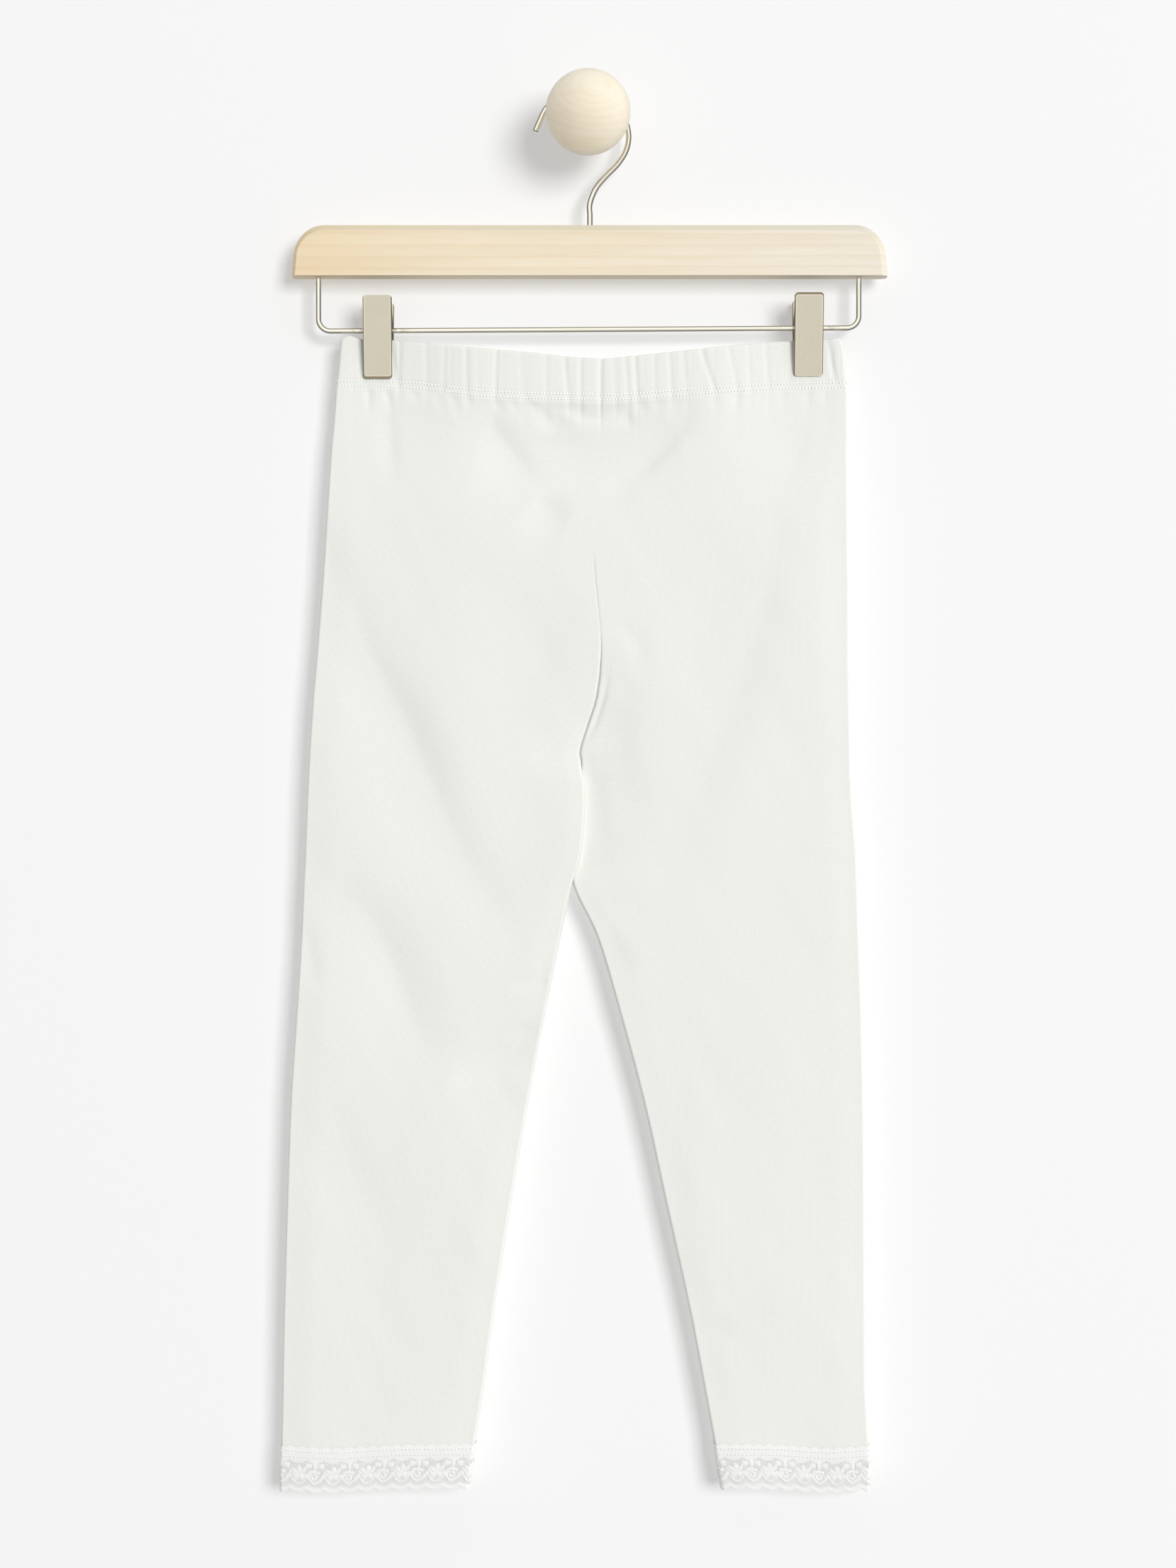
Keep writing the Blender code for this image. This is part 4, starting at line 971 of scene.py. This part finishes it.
def lace_band(side, material):
    """The lace round a hem: relief from its figure, and an attribute for the open net."""
    scallops = LACE_SCALLOPS[side]
    fine = round_leg(side, RING_STEPS)
    run = run_along(leg_surface(side, np.full_like(fine, HEM_Z), fine))
    girth = run[-1]
    columns = int(girth / LACE_STEP)
    along = np.linspace(0.0, girth, columns + 1)
    stops = np.interp(along, run, fine)
    wave = arches(along, girth / scallops)
    top_wave = arches(along, girth / scallops / LACE_TOP_SCALLOP_RATE)
    picot = arches(along, LACE_PICOT_PITCH)
    top = LACE_TOP_Z - LACE_TOP_SCALLOP_DEPTH * (1.0 - top_wave) + LACE_TOP_PICOT * picot
    foot = LACE_FOOT_Z - LACE_SCALLOP_DEPTH * wave - LACE_FOOT_PICOT * picot
    share = np.linspace(0.0, 1.0, LACE_ROWS + 1)[:, None]
    z = top[None] + (foot - top)[None] * share
    turn = np.broadcast_to(stops[None], z.shape)
    points = leg_surface(side, z.ravel(), turn.ravel()).reshape(*z.shape, 3)
    period = girth / scallops * SCALLOPS_PER_FIGURE
    s = np.broadcast_to(along[None], z.shape)
    height_up = z - foot[None]
    relief, cover = lace_figure(s, height_up, period)
    edge = np.clip(1.0 - np.abs(height_up - LACE_CORD_AT) / LACE_CORD_WIDTH, 0.0, 1.0)
    upper = ease((height_up - LACE_PLAIN_FROM) / LACE_PLAIN_BLEND)
    from_top = top[None] - z
    cord = np.clip(1.0 - np.abs(from_top - LACE_TOP_CORD_AT) / LACE_TOP_CORD_AT, 0.0, 1.0)
    relief = np.maximum(relief * (1.0 - 0.7 * upper), 0.8 * np.sqrt(edge))
    relief = np.maximum(relief, 0.5 * cord)
    cover = np.maximum(np.maximum(cover, np.clip(edge * 3, 0, 1)), upper)
    freed = LACE_LIFT_AT_TOP + (1.0 - LACE_LIFT_AT_TOP) * ease(from_top / LACE_LIFT_REACH)
    lift = LACE_STANDOFF * freed + LACE_RELIEF * relief
    points = points + closed_outward(points) * lift[..., None]
    points[:, -1] = points[:, 0]
    fields = {"net": 1.0 - cover, "relief": relief}
    return grid_object("lace_band_" + side, points, s, height_up, True, material, fields)


def lace_stitching(side, material):
    """The two rows of stitching that hold a lace band to its hem."""
    fine = round_leg(side, STITCH_RING_STEPS)
    lift = LACE_STANDOFF + LACE_STITCH_LIFT
    places = []
    for level, offset in LACE_STITCH_ROWS:
        ring = leg_surface(side, np.full_like(fine, level), fine)
        outward = closed_outward(ring[None])[0]
        placed = places_on_ring(ring, outward, LACE_STITCH_PITCH, lift, offset)
        places += [place for place in placed if abs(place[2].y) > LACE_STITCH_FACING]
    return stitches("lace_stitching_" + side, places, LACE_STITCH_SIZE, material)


def wire(name, points, diameter, material):
    """A round wire along a row of points, with closed ends."""
    curve = bpy.data.curves.new(name, "CURVE")
    curve.dimensions = "3D"
    curve.bevel_depth = diameter / 2
    curve.bevel_resolution = 5
    curve.use_fill_caps = True
    spline = curve.splines.new("POLY")
    spline.points.add(len(points) - 1)
    spline.use_smooth = True
    for point, spot in zip(spline.points, points):
        point.co = (*spot, 1.0)
    curve.materials.append(material)
    return link(name, curve)


def in_hanging_plane(route):
    """Turn a route of x and z into points of the hanging plane."""
    return [(x, HANG_Y, z) for x, z in route]


def hook_wire(material):
    route = smooth_route(HOOK_ROUTE, 12) * MM
    return wire("hook_wire", in_hanging_plane(route), HOOK_WIRE, material)


def rod_route():
    """The rod's line: down from the bar, round a bend, across, round a bend and up."""
    left = ROD_CENTRE_X - ROD_HALF_SPAN
    right = ROD_CENTRE_X + ROD_HALF_SPAN
    route = [(left, ROD_TOP_Z)]
    for level, corner, way in ((ROD_LEFT_Z, left, 1), (ROD_RIGHT_Z, right, -1)):
        bend = []
        for angle in np.linspace(0.0, math.pi / 2, 13):
            x = corner + way * ROD_BEND_RADIUS * (1.0 - math.cos(angle))
            z = level + ROD_BEND_RADIUS * (1.0 - math.sin(angle))
            bend.append((x, z))
        route += bend if way == 1 else bend[::-1]
    route.append((right, ROD_TOP_Z))
    return route


def rod_height(x):
    """Height of the rod's middle at an x."""
    share = (x - ROD_CENTRE_X + ROD_HALF_SPAN) / (2 * ROD_HALF_SPAN)
    return ROD_LEFT_Z + (ROD_RIGHT_Z - ROD_LEFT_Z) * share


def spring_coil(side, centre_x, material):
    """The coil round the rod that closes a clip."""
    points = []
    for turn in np.linspace(0.0, 1.0, SPRING_TURNS * 24 + 1):
        angle = 2.0 * math.pi * SPRING_TURNS * turn
        x = centre_x + SPRING_LENGTH * (turn - 0.5)
        y = HANG_Y + SPRING_RADIUS * math.cos(angle)
        z = rod_height(x) + SPRING_RADIUS * math.sin(angle)
        points.append((x, y, z))
    return wire("spring_coil_" + side, points, SPRING_WIRE, material)


def turned_ball(material):
    """The ball, cut flat behind where the stem meets it."""
    build = bmesh.new()
    turn = Matrix.Translation((0.0, BALL_CENTRE_Y, 0.0)) @ Matrix.Rotation(math.pi / 2, 4, "X")
    bmesh.ops.create_uvsphere(build, u_segments=72, v_segments=48, radius=BALL_RADIUS, matrix=turn)
    back = BALL_CENTRE_Y + math.sqrt(BALL_RADIUS**2 - BALL_SEAT_RADIUS**2)
    cut = bmesh.ops.bisect_plane(
        build,
        geom=build.verts[:] + build.edges[:] + build.faces[:],
        plane_co=(0.0, back, 0.0),
        plane_no=(0.0, 1.0, 0.0),
        clear_outer=True,
    )
    rim = [item for item in cut["geom_cut"] if isinstance(item, bmesh.types.BMEdge)]
    bmesh.ops.edgeloop_fill(build, edges=rim)
    bmesh.ops.recalc_face_normals(build, faces=build.faces)
    ball = smooth_piece("turned_ball", finished(build, "turned_ball"), material)
    ball.data.set_sharp_from_angle(angle=BALL_EDGE_ANGLE)
    return ball


class Nodes:
    """Short ways to add and join a node tree's nodes."""

    def __init__(self, tree):
        self.tree = tree
        self.column = 0

    def add(self, kind, inputs=None, **settings):
        node = self.tree.nodes.new(kind)
        self.column += 1
        node.location = (180 * self.column, 0)
        for name, value in settings.items():
            setattr(node, name, value)
        for key, value in (inputs or {}).items():
            self.feed(node.inputs[key], value)
        return node

    def feed(self, socket, value):
        if isinstance(value, bpy.types.NodeSocket):
            self.tree.links.new(value, socket)
        else:
            socket.default_value = value

    def split(self, vector):
        return self.add("ShaderNodeSeparateXYZ", {"Vector": vector}).outputs

    def place(self):
        return self.add("ShaderNodeTexCoord").outputs["Object"]

    def mapped(self, vector, **how):
        return self.add("ShaderNodeMapping", {"Vector": vector, **how}).outputs["Vector"]

    def length(self, vector):
        node = self.add("ShaderNodeVectorMath", {0: vector}, operation="LENGTH")
        return node.outputs["Value"]

    def group(self, name, inputs):
        return self.add("ShaderNodeGroup", inputs, node_tree=GROUPS[name]).outputs

    def math(self, operation, first, second=0.5, third=0.5):
        node = self.add("ShaderNodeMath", operation=operation)
        for socket, value in zip(node.inputs, (first, second, third)):
            self.feed(socket, value)
        return node.outputs[0]

    def blend(self, kind, share, first, second):
        node = self.add("ShaderNodeMix", data_type="RGBA", blend_type=kind)
        self.feed(node.inputs["Factor"], share)
        self.feed(node.inputs["A"], first)
        self.feed(node.inputs["B"], second)
        return node.outputs["Result"]

    def ramp(self, value, stops):
        node = self.add("ShaderNodeValToRGB", {"Fac": value})
        elements = node.color_ramp.elements
        while len(elements) < len(stops):
            elements.new(0.5)
        for element, (position, color) in zip(elements, stops):
            element.position = position
            element.color = (*color, 1.0)
        return node.outputs["Color"]

    def noise(self, vector, scale, detail=3.0, roughness=0.55, stretch=None):
        if stretch:
            vector = self.mapped(vector, Scale=stretch)
        node = self.add(
            "ShaderNodeTexNoise",
            {"Vector": vector, "Scale": scale, "Detail": detail, "Roughness": roughness},
        )
        return node.outputs["Fac"]


def knit(nodes, entry):
    """Fine jersey: columns of small loops, and the slight mottle of cotton yarn."""
    vector = entry["Vector"]
    place = nodes.split(vector)
    wale = nodes.math("DIVIDE", place["X"], entry["Wale"])
    course = nodes.math("DIVIDE", place["Y"], entry["Course"])
    ribs = nodes.math("ABSOLUTE", nodes.math("SINE", nodes.math("MULTIPLY", wale, math.pi)))
    slant = nodes.math("MULTIPLY", nodes.math("PINGPONG", wale, 0.5), 0.9)
    rows = nodes.math("MULTIPLY", nodes.math("ADD", course, slant), 2 * math.pi)
    loops = nodes.math("MULTIPLY_ADD", nodes.math("SINE", rows), 0.3, 0.7)
    loops = nodes.math("MULTIPLY", ribs, loops)
    return {
        "Height": nodes.math("MULTIPLY_ADD", nodes.noise(vector, 1500.0, 2.0), 0.6, loops),
        "Mottle": nodes.noise(vector, 420.0, 4.0, 0.7),
        "Streaks": nodes.noise(vector, 480.0, 3.0, 0.6, stretch=(0.5, 1.2, 1.0)),
    }


def grain(nodes, entry):
    """Pale wood: growth lines, fibre streaks, and fine pores."""
    vector = entry["Vector"]
    along = nodes.mapped(vector, Scale=entry["Fibre"])
    rings = nodes.math("MULTIPLY", nodes.split(vector)["X"], entry["Lines"])
    rings = nodes.math("MULTIPLY_ADD", nodes.noise(along, 22.0, 2.0), 2.6, rings)
    return {
        "Growth": nodes.math("POWER", nodes.math("FRACT", rings), 3.0),
        "Fibres": nodes.noise(along, 160.0, 6.0, 0.65),
        "Pores": nodes.noise(along, 900.0, 3.0, 0.6),
    }


def tarnish(nodes, entry):
    """Where plated metal is dulled, and the fine speckle of its skin."""
    return {
        "Dull": nodes.noise(entry["Vector"], entry["Size"], 5.0, 0.7),
        "Speckle": nodes.noise(entry["Vector"], 3200.0, 2.0, 0.5),
    }


def node_group(name, make, names, **inputs):
    """A shader node group with a vector, other inputs with their usual values, and outputs."""
    tree = bpy.data.node_groups.new(name, "ShaderNodeTree")
    tree.interface.new_socket("Vector", in_out="INPUT", socket_type="NodeSocketVector")
    for label, value in inputs.items():
        kind = "NodeSocketVector" if isinstance(value, tuple) else "NodeSocketFloat"
        socket = tree.interface.new_socket(label, in_out="INPUT", socket_type=kind)
        socket.default_value = value
    for label in names:
        tree.interface.new_socket(label, in_out="OUTPUT", socket_type="NodeSocketFloat")
    nodes = Nodes(tree)
    made = make(nodes, nodes.add("NodeGroupInput").outputs)
    nodes.add("NodeGroupOutput", made)
    return tree


GROUPS = {
    "knit": node_group(
        "jersey_knit", knit, ("Height", "Mottle", "Streaks"), Wale=0.0009, Course=0.0008
    ),
    "grain": node_group(
        "wood_grain", grain, ("Growth", "Fibres", "Pores"), Lines=1.0, Fibre=(1.0, 1.0, 1.0)
    ),
    "tarnish": node_group("metal_tarnish", tarnish, ("Dull", "Speckle"), Size=260.0),
}


def new_material(name, roughness, **sockets):
    """A material with a Principled shader, its even values set on the shader itself."""
    material = bpy.data.materials.new(name)
    material.use_nodes = True
    nodes = Nodes(material.node_tree)
    shader = material.node_tree.nodes["Principled BSDF"]
    shader.inputs["Roughness"].default_value = roughness
    for label, value in sockets.items():
        shader.inputs[label.replace("_", " ")].default_value = value
    return material, nodes, shader


def finish_surface(nodes, shader, tone, height, distance, strength):
    """Give a shader its colour and its fine relief."""
    nodes.feed(shader.inputs["Base Color"], tone)
    inputs = {"Height": height, "Distance": distance, "Strength": strength}
    nodes.feed(shader.inputs["Normal"], nodes.add("ShaderNodeBump", inputs).outputs["Normal"])


def from_clip(nodes, x):
    """Distance of an x from the middle of the nearer clip."""
    away = [
        nodes.math("ABSOLUTE", nodes.math("SUBTRACT", x, centre)) for centre in CLIP_CENTRES_X
    ]
    return nodes.math("MINIMUM", *away)


JERSEY_LIGHT = (0.835, 0.840, 0.800)
JERSEY_SHADE = (0.812, 0.818, 0.776)
LACE_WHITE = (0.874, 0.880, 0.856)
LACE_SHADE = (0.830, 0.836, 0.808)
NET_ROW_PITCH = 0.00085
NET_STRUT_PITCH = 0.0012
NET_HOLE_LEVEL = 0.66


def jersey_material():
    material, nodes, shader = new_material(
        "off_white_jersey", 0.88, Sheen_Weight=0.12, Sheen_Roughness=0.5, Specular_IOR_Level=0.2
    )
    uv = nodes.add("ShaderNodeUVMap", uv_map="cloth").outputs["UV"]
    knit = nodes.group("knit", {"Vector": uv})
    mixed = nodes.math("ADD", knit["Mottle"], knit["Streaks"])
    tone = nodes.ramp(
        nodes.math("MULTIPLY", mixed, 0.5), [(0.36, JERSEY_SHADE), (0.62, JERSEY_LIGHT)]
    )
    finish_surface(nodes, shader, tone, knit["Height"], 0.00012, 0.5)
    return material


def thread_material(name, color):
    material, nodes, shader = new_material(name, 0.6, Sheen_Weight=0.2, Specular_IOR_Level=0.4)
    twist = nodes.noise(nodes.place(), 2600.0, 2.0)
    darker = tuple(channel * 0.9 for channel in color)
    tone = nodes.ramp(twist, [(0.3, darker), (0.7, color)])
    finish_surface(nodes, shader, tone, twist, 0.0001, 0.6)
    return material


def lace_material():
    material, nodes, shader = new_material(
        "floral_lace", 0.8, Sheen_Weight=0.15, Specular_IOR_Level=0.3
    )
    uv = nodes.add("ShaderNodeUVMap", uv_map="cloth").outputs["UV"]
    place = nodes.split(uv)
    net = nodes.add("ShaderNodeAttribute", attribute_name="net").outputs["Fac"]
    across = nodes.math("MULTIPLY", place["Y"], math.pi / NET_ROW_PITCH)
    along = nodes.math("MULTIPLY", place["X"], math.pi / NET_STRUT_PITCH)
    threads = nodes.math("ABSOLUTE", nodes.math("SINE", across))
    struts = nodes.math("ABSOLUTE", nodes.math("SINE", along))
    holes = nodes.math("MULTIPLY", threads, struts)
    hole_mask = nodes.math("GREATER_THAN", holes, NET_HOLE_LEVEL)
    open_share = nodes.math("MULTIPLY", nodes.math("GREATER_THAN", net, 0.5), hole_mask)
    nodes.feed(shader.inputs["Alpha"], nodes.math("SUBTRACT", 1.0, open_share))
    cords = nodes.noise(uv, 1300.0, 3.0, 0.6, stretch=(0.5, 1.6, 1.0))
    tone = nodes.ramp(cords, [(0.34, LACE_SHADE), (0.66, LACE_WHITE)])
    finish_surface(nodes, shader, tone, cords, 0.0002, 0.5)
    return material


def bar_material():
    material, nodes, shader = new_material("pale_bar_wood", 0.42, Coat_Weight=0.12)
    place = nodes.place()
    turned = nodes.mapped(place, Rotation=(0.0, math.radians(90), 0.0))
    grain = nodes.group("grain", {"Vector": turned, "Lines": 170.0, "Fibre": (1.0, 1.0, 0.06)})
    sideways = nodes.math("MULTIPLY_ADD", nodes.split(place)["X"], 2.86, 0.5)
    base = nodes.ramp(
        sideways,
        [(0.0, (0.835, 0.690, 0.475)), (0.3, (0.865, 0.770, 0.600)), (1.0, (0.840, 0.785, 0.675))],
    )
    lines = nodes.math("MULTIPLY", grain["Growth"], 0.35)
    toned = nodes.blend("MULTIPLY", lines, base, (0.90, 0.80, 0.66, 1.0))
    streaks = nodes.ramp(grain["Fibres"], [(0.3, (0.93, 0.90, 0.85)), (0.7, (1, 1, 1))])
    toned = nodes.blend("MULTIPLY", 1.0, toned, streaks)
    # Painted shade: faces turned upward, such as the top chamfer, are made greyer and darker
    normal = nodes.add("ShaderNodeNewGeometry").outputs["Normal"]
    upward = nodes.split(normal)["Z"]
    top = nodes.ramp(upward, [(0.15, (1.0, 1.0, 1.0)), (0.55, (0.84, 0.87, 0.87))])
    toned = nodes.blend("MULTIPLY", 1.0, toned, top)
    finish_surface(nodes, shader, toned, grain["Pores"], 0.00015, 0.25)
    return material


def ball_material():
    material, nodes, shader = new_material(
        "turned_ball_wood", 0.4, Coat_Weight=0.1, Sheen_Weight=0.15, Sheen_Roughness=0.6,
        Subsurface_Weight=1.0, Subsurface_Scale=0.045, Subsurface_Radius=(1.0, 1.0, 1.0),
    )
    place = nodes.place()
    centred = nodes.mapped(place, Location=(-0.003, 0.045, -0.009))
    out = nodes.length(nodes.mapped(centred, Scale=(1.0, 0.35, 1.25)))
    rings_at = nodes.add("ShaderNodeCombineXYZ", {"X": out}).outputs["Vector"]
    grain = nodes.group("grain", {"Vector": rings_at, "Lines": 240.0})
    fibres = nodes.noise(place, 170.0, 5.0, 0.65, stretch=(0.15, 1.0, 1.0))
    base = nodes.ramp(fibres, [(0.3, (0.765, 0.675, 0.530)), (0.7, (0.800, 0.720, 0.590))])
    lines = nodes.math("MULTIPLY", grain["Growth"], 0.18)
    toned = nodes.blend("MULTIPLY", lines, base, (0.84, 0.70, 0.52, 1.0))
    nodes.feed(shader.inputs["Base Color"], toned)
    return material


TARNISH_REACH = 0.020
TARNISH_LEVEL = 0.47
BRIGHT_NICKEL = (0.86, 0.815, 0.70, 1.0)
DULLED_NICKEL = (0.40, 0.33, 0.22, 1.0)


def nickel_material():
    material, nodes, shader = new_material("nickel_wire", 0.16, Metallic=1.0)
    place = nodes.place()
    worn = nodes.group("tarnish", {"Vector": place})
    away = from_clip(nodes, nodes.split(place)["X"])
    by_clip = nodes.math("MULTIPLY_ADD", away, -1.0 / TARNISH_REACH, 1.0)
    dull = nodes.math("LESS_THAN", worn["Dull"], TARNISH_LEVEL)
    dull = nodes.math("MULTIPLY", dull, nodes.math("MAXIMUM", by_clip, 0.0))
    tone = nodes.blend("MIX", dull, BRIGHT_NICKEL, DULLED_NICKEL)
    nodes.feed(shader.inputs["Roughness"], nodes.math("MULTIPLY_ADD", dull, 0.3, 0.18))
    finish_surface(nodes, shader, tone, worn["Speckle"], 0.00003, 0.2)
    return material


def clip_material():
    material, nodes, shader = new_material("satin_clip_sheet", 0.34, Metallic=1.0)
    place = nodes.place()
    worn = nodes.group("tarnish", {"Vector": place, "Size": 90.0})
    tone = nodes.ramp(worn["Dull"], [(0.3, (0.60, 0.556, 0.442)), (0.7, (0.63, 0.585, 0.470))])
    # Painted highlight and painted shade round each jaw plate: a bright band just inside its
    # outline and a dark line at the outline, placed by distance from the plate's corners
    spot = nodes.split(place)
    middle, half = sum(JAW_LEVELS) / 2, (JAW_LEVELS[0] - JAW_LEVELS[1]) / 2
    aside = nodes.math("SUBTRACT", from_clip(nodes, spot["X"]), JAW_WIDTH / 2 - JAW_CORNER)
    over = nodes.math("ABSOLUTE", nodes.math("SUBTRACT", spot["Z"], middle))
    over = nodes.math("SUBTRACT", over, half - JAW_CORNER)
    corner = nodes.add(
        "ShaderNodeCombineXYZ",
        {"X": nodes.math("MAXIMUM", aside, 0.0), "Y": nodes.math("MAXIMUM", over, 0.0)},
    )
    rim = nodes.ramp(
        nodes.math("DIVIDE", nodes.length(corner.outputs["Vector"]), JAW_CORNER),
        [(0.42, (1.0, 1.0, 1.0)), (0.52, (1.25, 1.25, 1.28)), (0.66, (1.25, 1.25, 1.28)),
         (0.76, (0.45, 0.41, 0.34))],
    )
    tone = nodes.blend("MULTIPLY", 1.0, tone, rim)
    finish_surface(nodes, shader, tone, worn["Speckle"], 0.00002, 0.25)
    return material


def backdrop_material(name, albedo, glow):
    """A pale surface seen from its front by the camera alone, so light and back views pass it."""
    material = bpy.data.materials.new(name)
    material.use_nodes = True
    tree = material.node_tree
    tree.nodes.clear()
    nodes = Nodes(tree)
    diffuse = nodes.add("ShaderNodeBsdfDiffuse", {"Color": (albedo, albedo, albedo, 1.0)})
    emission = nodes.add("ShaderNodeEmission", {"Color": WHITE, "Strength": glow})
    both = nodes.add("ShaderNodeAddShader", {0: diffuse.outputs[0], 1: emission.outputs[0]})
    clear = nodes.add("ShaderNodeBsdfTransparent")
    path = nodes.add("ShaderNodeLightPath")
    facing = nodes.add("ShaderNodeNewGeometry")
    in_front = nodes.math("SUBTRACT", 1.0, facing.outputs["Backfacing"])
    seen = nodes.math("MULTIPLY", path.outputs["Is Camera Ray"], in_front)
    mix = nodes.add("ShaderNodeMixShader", {0: seen, 1: clear.outputs[0], 2: both.outputs[0]})
    leave = nodes.add("ShaderNodeOutputMaterial", {"Surface": mix.outputs[0]})
    leave.is_active_output = True
    return material


def plane(name, size, place, material):
    """A flat backdrop piece facing the viewer or up."""
    build = bmesh.new()
    bmesh.ops.create_grid(build, x_segments=1, y_segments=1, size=size, matrix=place)
    mesh = finished(build, name)
    mesh.materials.append(material)
    obj = link(name, mesh)


FLOOR_Z = -1.32
WALL_HALF_SIZE = 4.0
WALL_ALBEDO = 0.60
WALL_GLOW = 0.300
KEY_DIRECTION = (0.46, -1.0, 0.19)
KEY_DISTANCE = 12.0
KEY_SIZE = 4.4
KEY_POWER = 1035.0
SKY_DIFFUSE = 0.31
SKY_FROM_ASIDE = 0.70
SKY_FROM_RIGHT = 0.45
SKY_FROM_ABOVE = 0.45
WALL_BOUNCE = 0.60
WALL_BOUNCE_ASIDE = 0.65
SKY_SIDES_MIRRORED = 0.20
SKY_FRONT_MIRRORED = 0.95
SKY_TOP_MIRRORED = 0.9
SKY_SEEN = 0.93


def studio():
    """Wall, floor, lights and world."""
    wall = backdrop_material("white_wall", WALL_ALBEDO, WALL_GLOW)
    upright = Matrix.Rotation(math.pi / 2, 4, "X")
    middle = Matrix.Translation((0.0, 0.0, FLOOR_Z + WALL_HALF_SIZE))
    plane("wall", WALL_HALF_SIZE, middle @ upright, wall)
    floor = backdrop_material("pale_floor", WALL_ALBEDO, WALL_GLOW)
    middle = Matrix.Translation((0.0, -WALL_HALF_SIZE, FLOOR_Z))
    plane("floor", WALL_HALF_SIZE, middle, floor)

    light = bpy.data.lights.new("key_window", "AREA")
    light.shape = "SQUARE"
    light.size = KEY_SIZE
    light.energy = KEY_POWER
    key = link("key_window", light)
    key.visible_glossy = False
    way = Vector(KEY_DIRECTION).normalized()
    target = Vector((0.0, HANG_Y, CAMERA_HEIGHT))
    key.location = target + way * KEY_DISTANCE
    key.rotation_euler = (-way).to_track_quat("-Z", "Y").to_euler()

    world = bpy.data.worlds.new("soft_room")
    bpy.context.scene.world = world
    world.use_nodes = True
    world.node_tree.nodes.clear()
    nodes = Nodes(world.node_tree)
    direction = nodes.add("ShaderNodeTexCoord").outputs["Generated"]
    way = nodes.split(direction)
    room = nodes.math("MULTIPLY_ADD", way["X"], SKY_FROM_RIGHT, 1.0)
    room = nodes.math("MULTIPLY_ADD", way["Z"], SKY_FROM_ABOVE, room)
    ahead = nodes.math("MULTIPLY", way["Y"], way["Y"])
    aside = nodes.math("SUBTRACT", 1.0, ahead)
    room = nodes.math("MULTIPLY_ADD", aside, SKY_FROM_ASIDE, room)
    room = nodes.math("MULTIPLY", room, SKY_DIFFUSE)
    behind = nodes.math("MULTIPLY_ADD", way["Y"], 8.0, 0.5)
    behind = nodes.add("ShaderNodeClamp", {0: behind})
    from_wall = nodes.math("MULTIPLY_ADD", aside, WALL_BOUNCE_ASIDE, WALL_BOUNCE)
    bounce = nodes.math("SUBTRACT", from_wall, room)
    strength = nodes.math("MULTIPLY_ADD", bounce, behind.outputs[0], room)
    before = nodes.math("MINIMUM", way["Y"], 0.0)
    facing = nodes.math("MULTIPLY", before, before)
    mirrored = nodes.math("MULTIPLY_ADD", facing, SKY_FRONT_MIRRORED, SKY_SIDES_MIRRORED)
    above = nodes.math("MULTIPLY", nodes.math("MAXIMUM", way["Z"], 0.0), before)
    mirrored = nodes.math("MULTIPLY_ADD", above, -SKY_TOP_MIRRORED, mirrored)
    path = nodes.add("ShaderNodeLightPath")
    change = nodes.math("SUBTRACT", mirrored, strength)
    strength = nodes.math("MULTIPLY_ADD", change, path.outputs["Is Glossy Ray"], strength)
    change = nodes.math("SUBTRACT", SKY_SEEN, strength)
    strength = nodes.math("MULTIPLY_ADD", change, path.outputs["Is Camera Ray"], strength)
    background = nodes.add("ShaderNodeBackground", {"Color": WHITE, "Strength": strength})
    nodes.add("ShaderNodeOutputWorld", {"Surface": background.outputs[0]})


def camera():
    data = bpy.data.cameras.new("camera")
    data.sensor_width = SENSOR
    data.lens = SENSOR * CAMERA_DISTANCE / VIEW_HEIGHT
    data.clip_start = 0.01
    data.clip_end = 50.0
    obj = link("camera", data)
    obj.location = (0.0, HANG_Y - CAMERA_DISTANCE, CAMERA_HEIGHT)
    obj.rotation_euler = (math.pi / 2, 0.0, 0.0)
    bpy.context.scene.camera = obj
    bpy.context.scene.view_settings.view_transform = "Standard"


def dress_node(name, material, rounding=None):
    """Give a frame node its finish, and round its edges where that shows."""
    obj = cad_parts[name]
    obj.data.materials.clear()
    obj.data.materials.append(material)
    if rounding:
        weld = obj.modifiers.new("weld", "WELD")
        weld.merge_threshold = MERGE_DISTANCE
        bevel = obj.modifiers.new("rounding", "BEVEL")
        bevel.width = rounding
        bevel.segments = 3
        bevel.limit_method = "ANGLE"
        bevel.angle_limit = ROUNDED_EDGE_ANGLE
        bevel.harden_normals = True
    return obj


def add_piece(obj, slot, *nodes):
    """Let a new piece ride on the one body and stand for its frame nodes."""
    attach(obj, "root")
    if nodes:
        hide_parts(*nodes)
    return obj


def main():
    studio()
    camera()
    jersey = jersey_material()
    thread = thread_material("off_white_thread", (0.96, 0.965, 0.93))
    lace = lace_material()
    lace_thread = thread_material("white_thread", (0.88, 0.885, 0.87))
    nickel = nickel_material()
    satin = clip_material()
    ball_wood = ball_material()

    casing = add_piece(casing_shell(jersey), "jersey", "waistband_casing")
    add_piece(waist_stitching(thread), "jersey")
    for side in ("left", "right"):
        leg = add_piece(leg_shell(side, jersey), "jersey", "leg_panel_" + side)
        band = add_piece(lace_band(side, lace), "lace", "lace_hem_" + side)
        add_piece(lace_stitching(side, lace_thread), "lace")

    add_piece(turned_ball(ball_wood), "ball_wood", "peg_ball")
    dress_node("peg_stem", ball_wood)
    dress_node("hanger_bar", bar_material())
    add_piece(hook_wire(nickel), "nickel", "hanger_hook")
    rod = wire("trouser_rod", in_hanging_plane(rod_route()), ROD_WIRE, nickel)
    add_piece(rod, "nickel", "hanger_rod")
    for side, centre_x in zip(("left", "right"), CLIP_CENTRES_X):
        coil = spring_coil(side, centre_x, nickel)
        add_piece(coil, "nickel", "clip_" + side + "_spring")
        for place in ("front", "back"):
            dress_node("clip_" + side + "_" + place + "_jaw", satin, rounding=JAW_ROUNDING)


main()
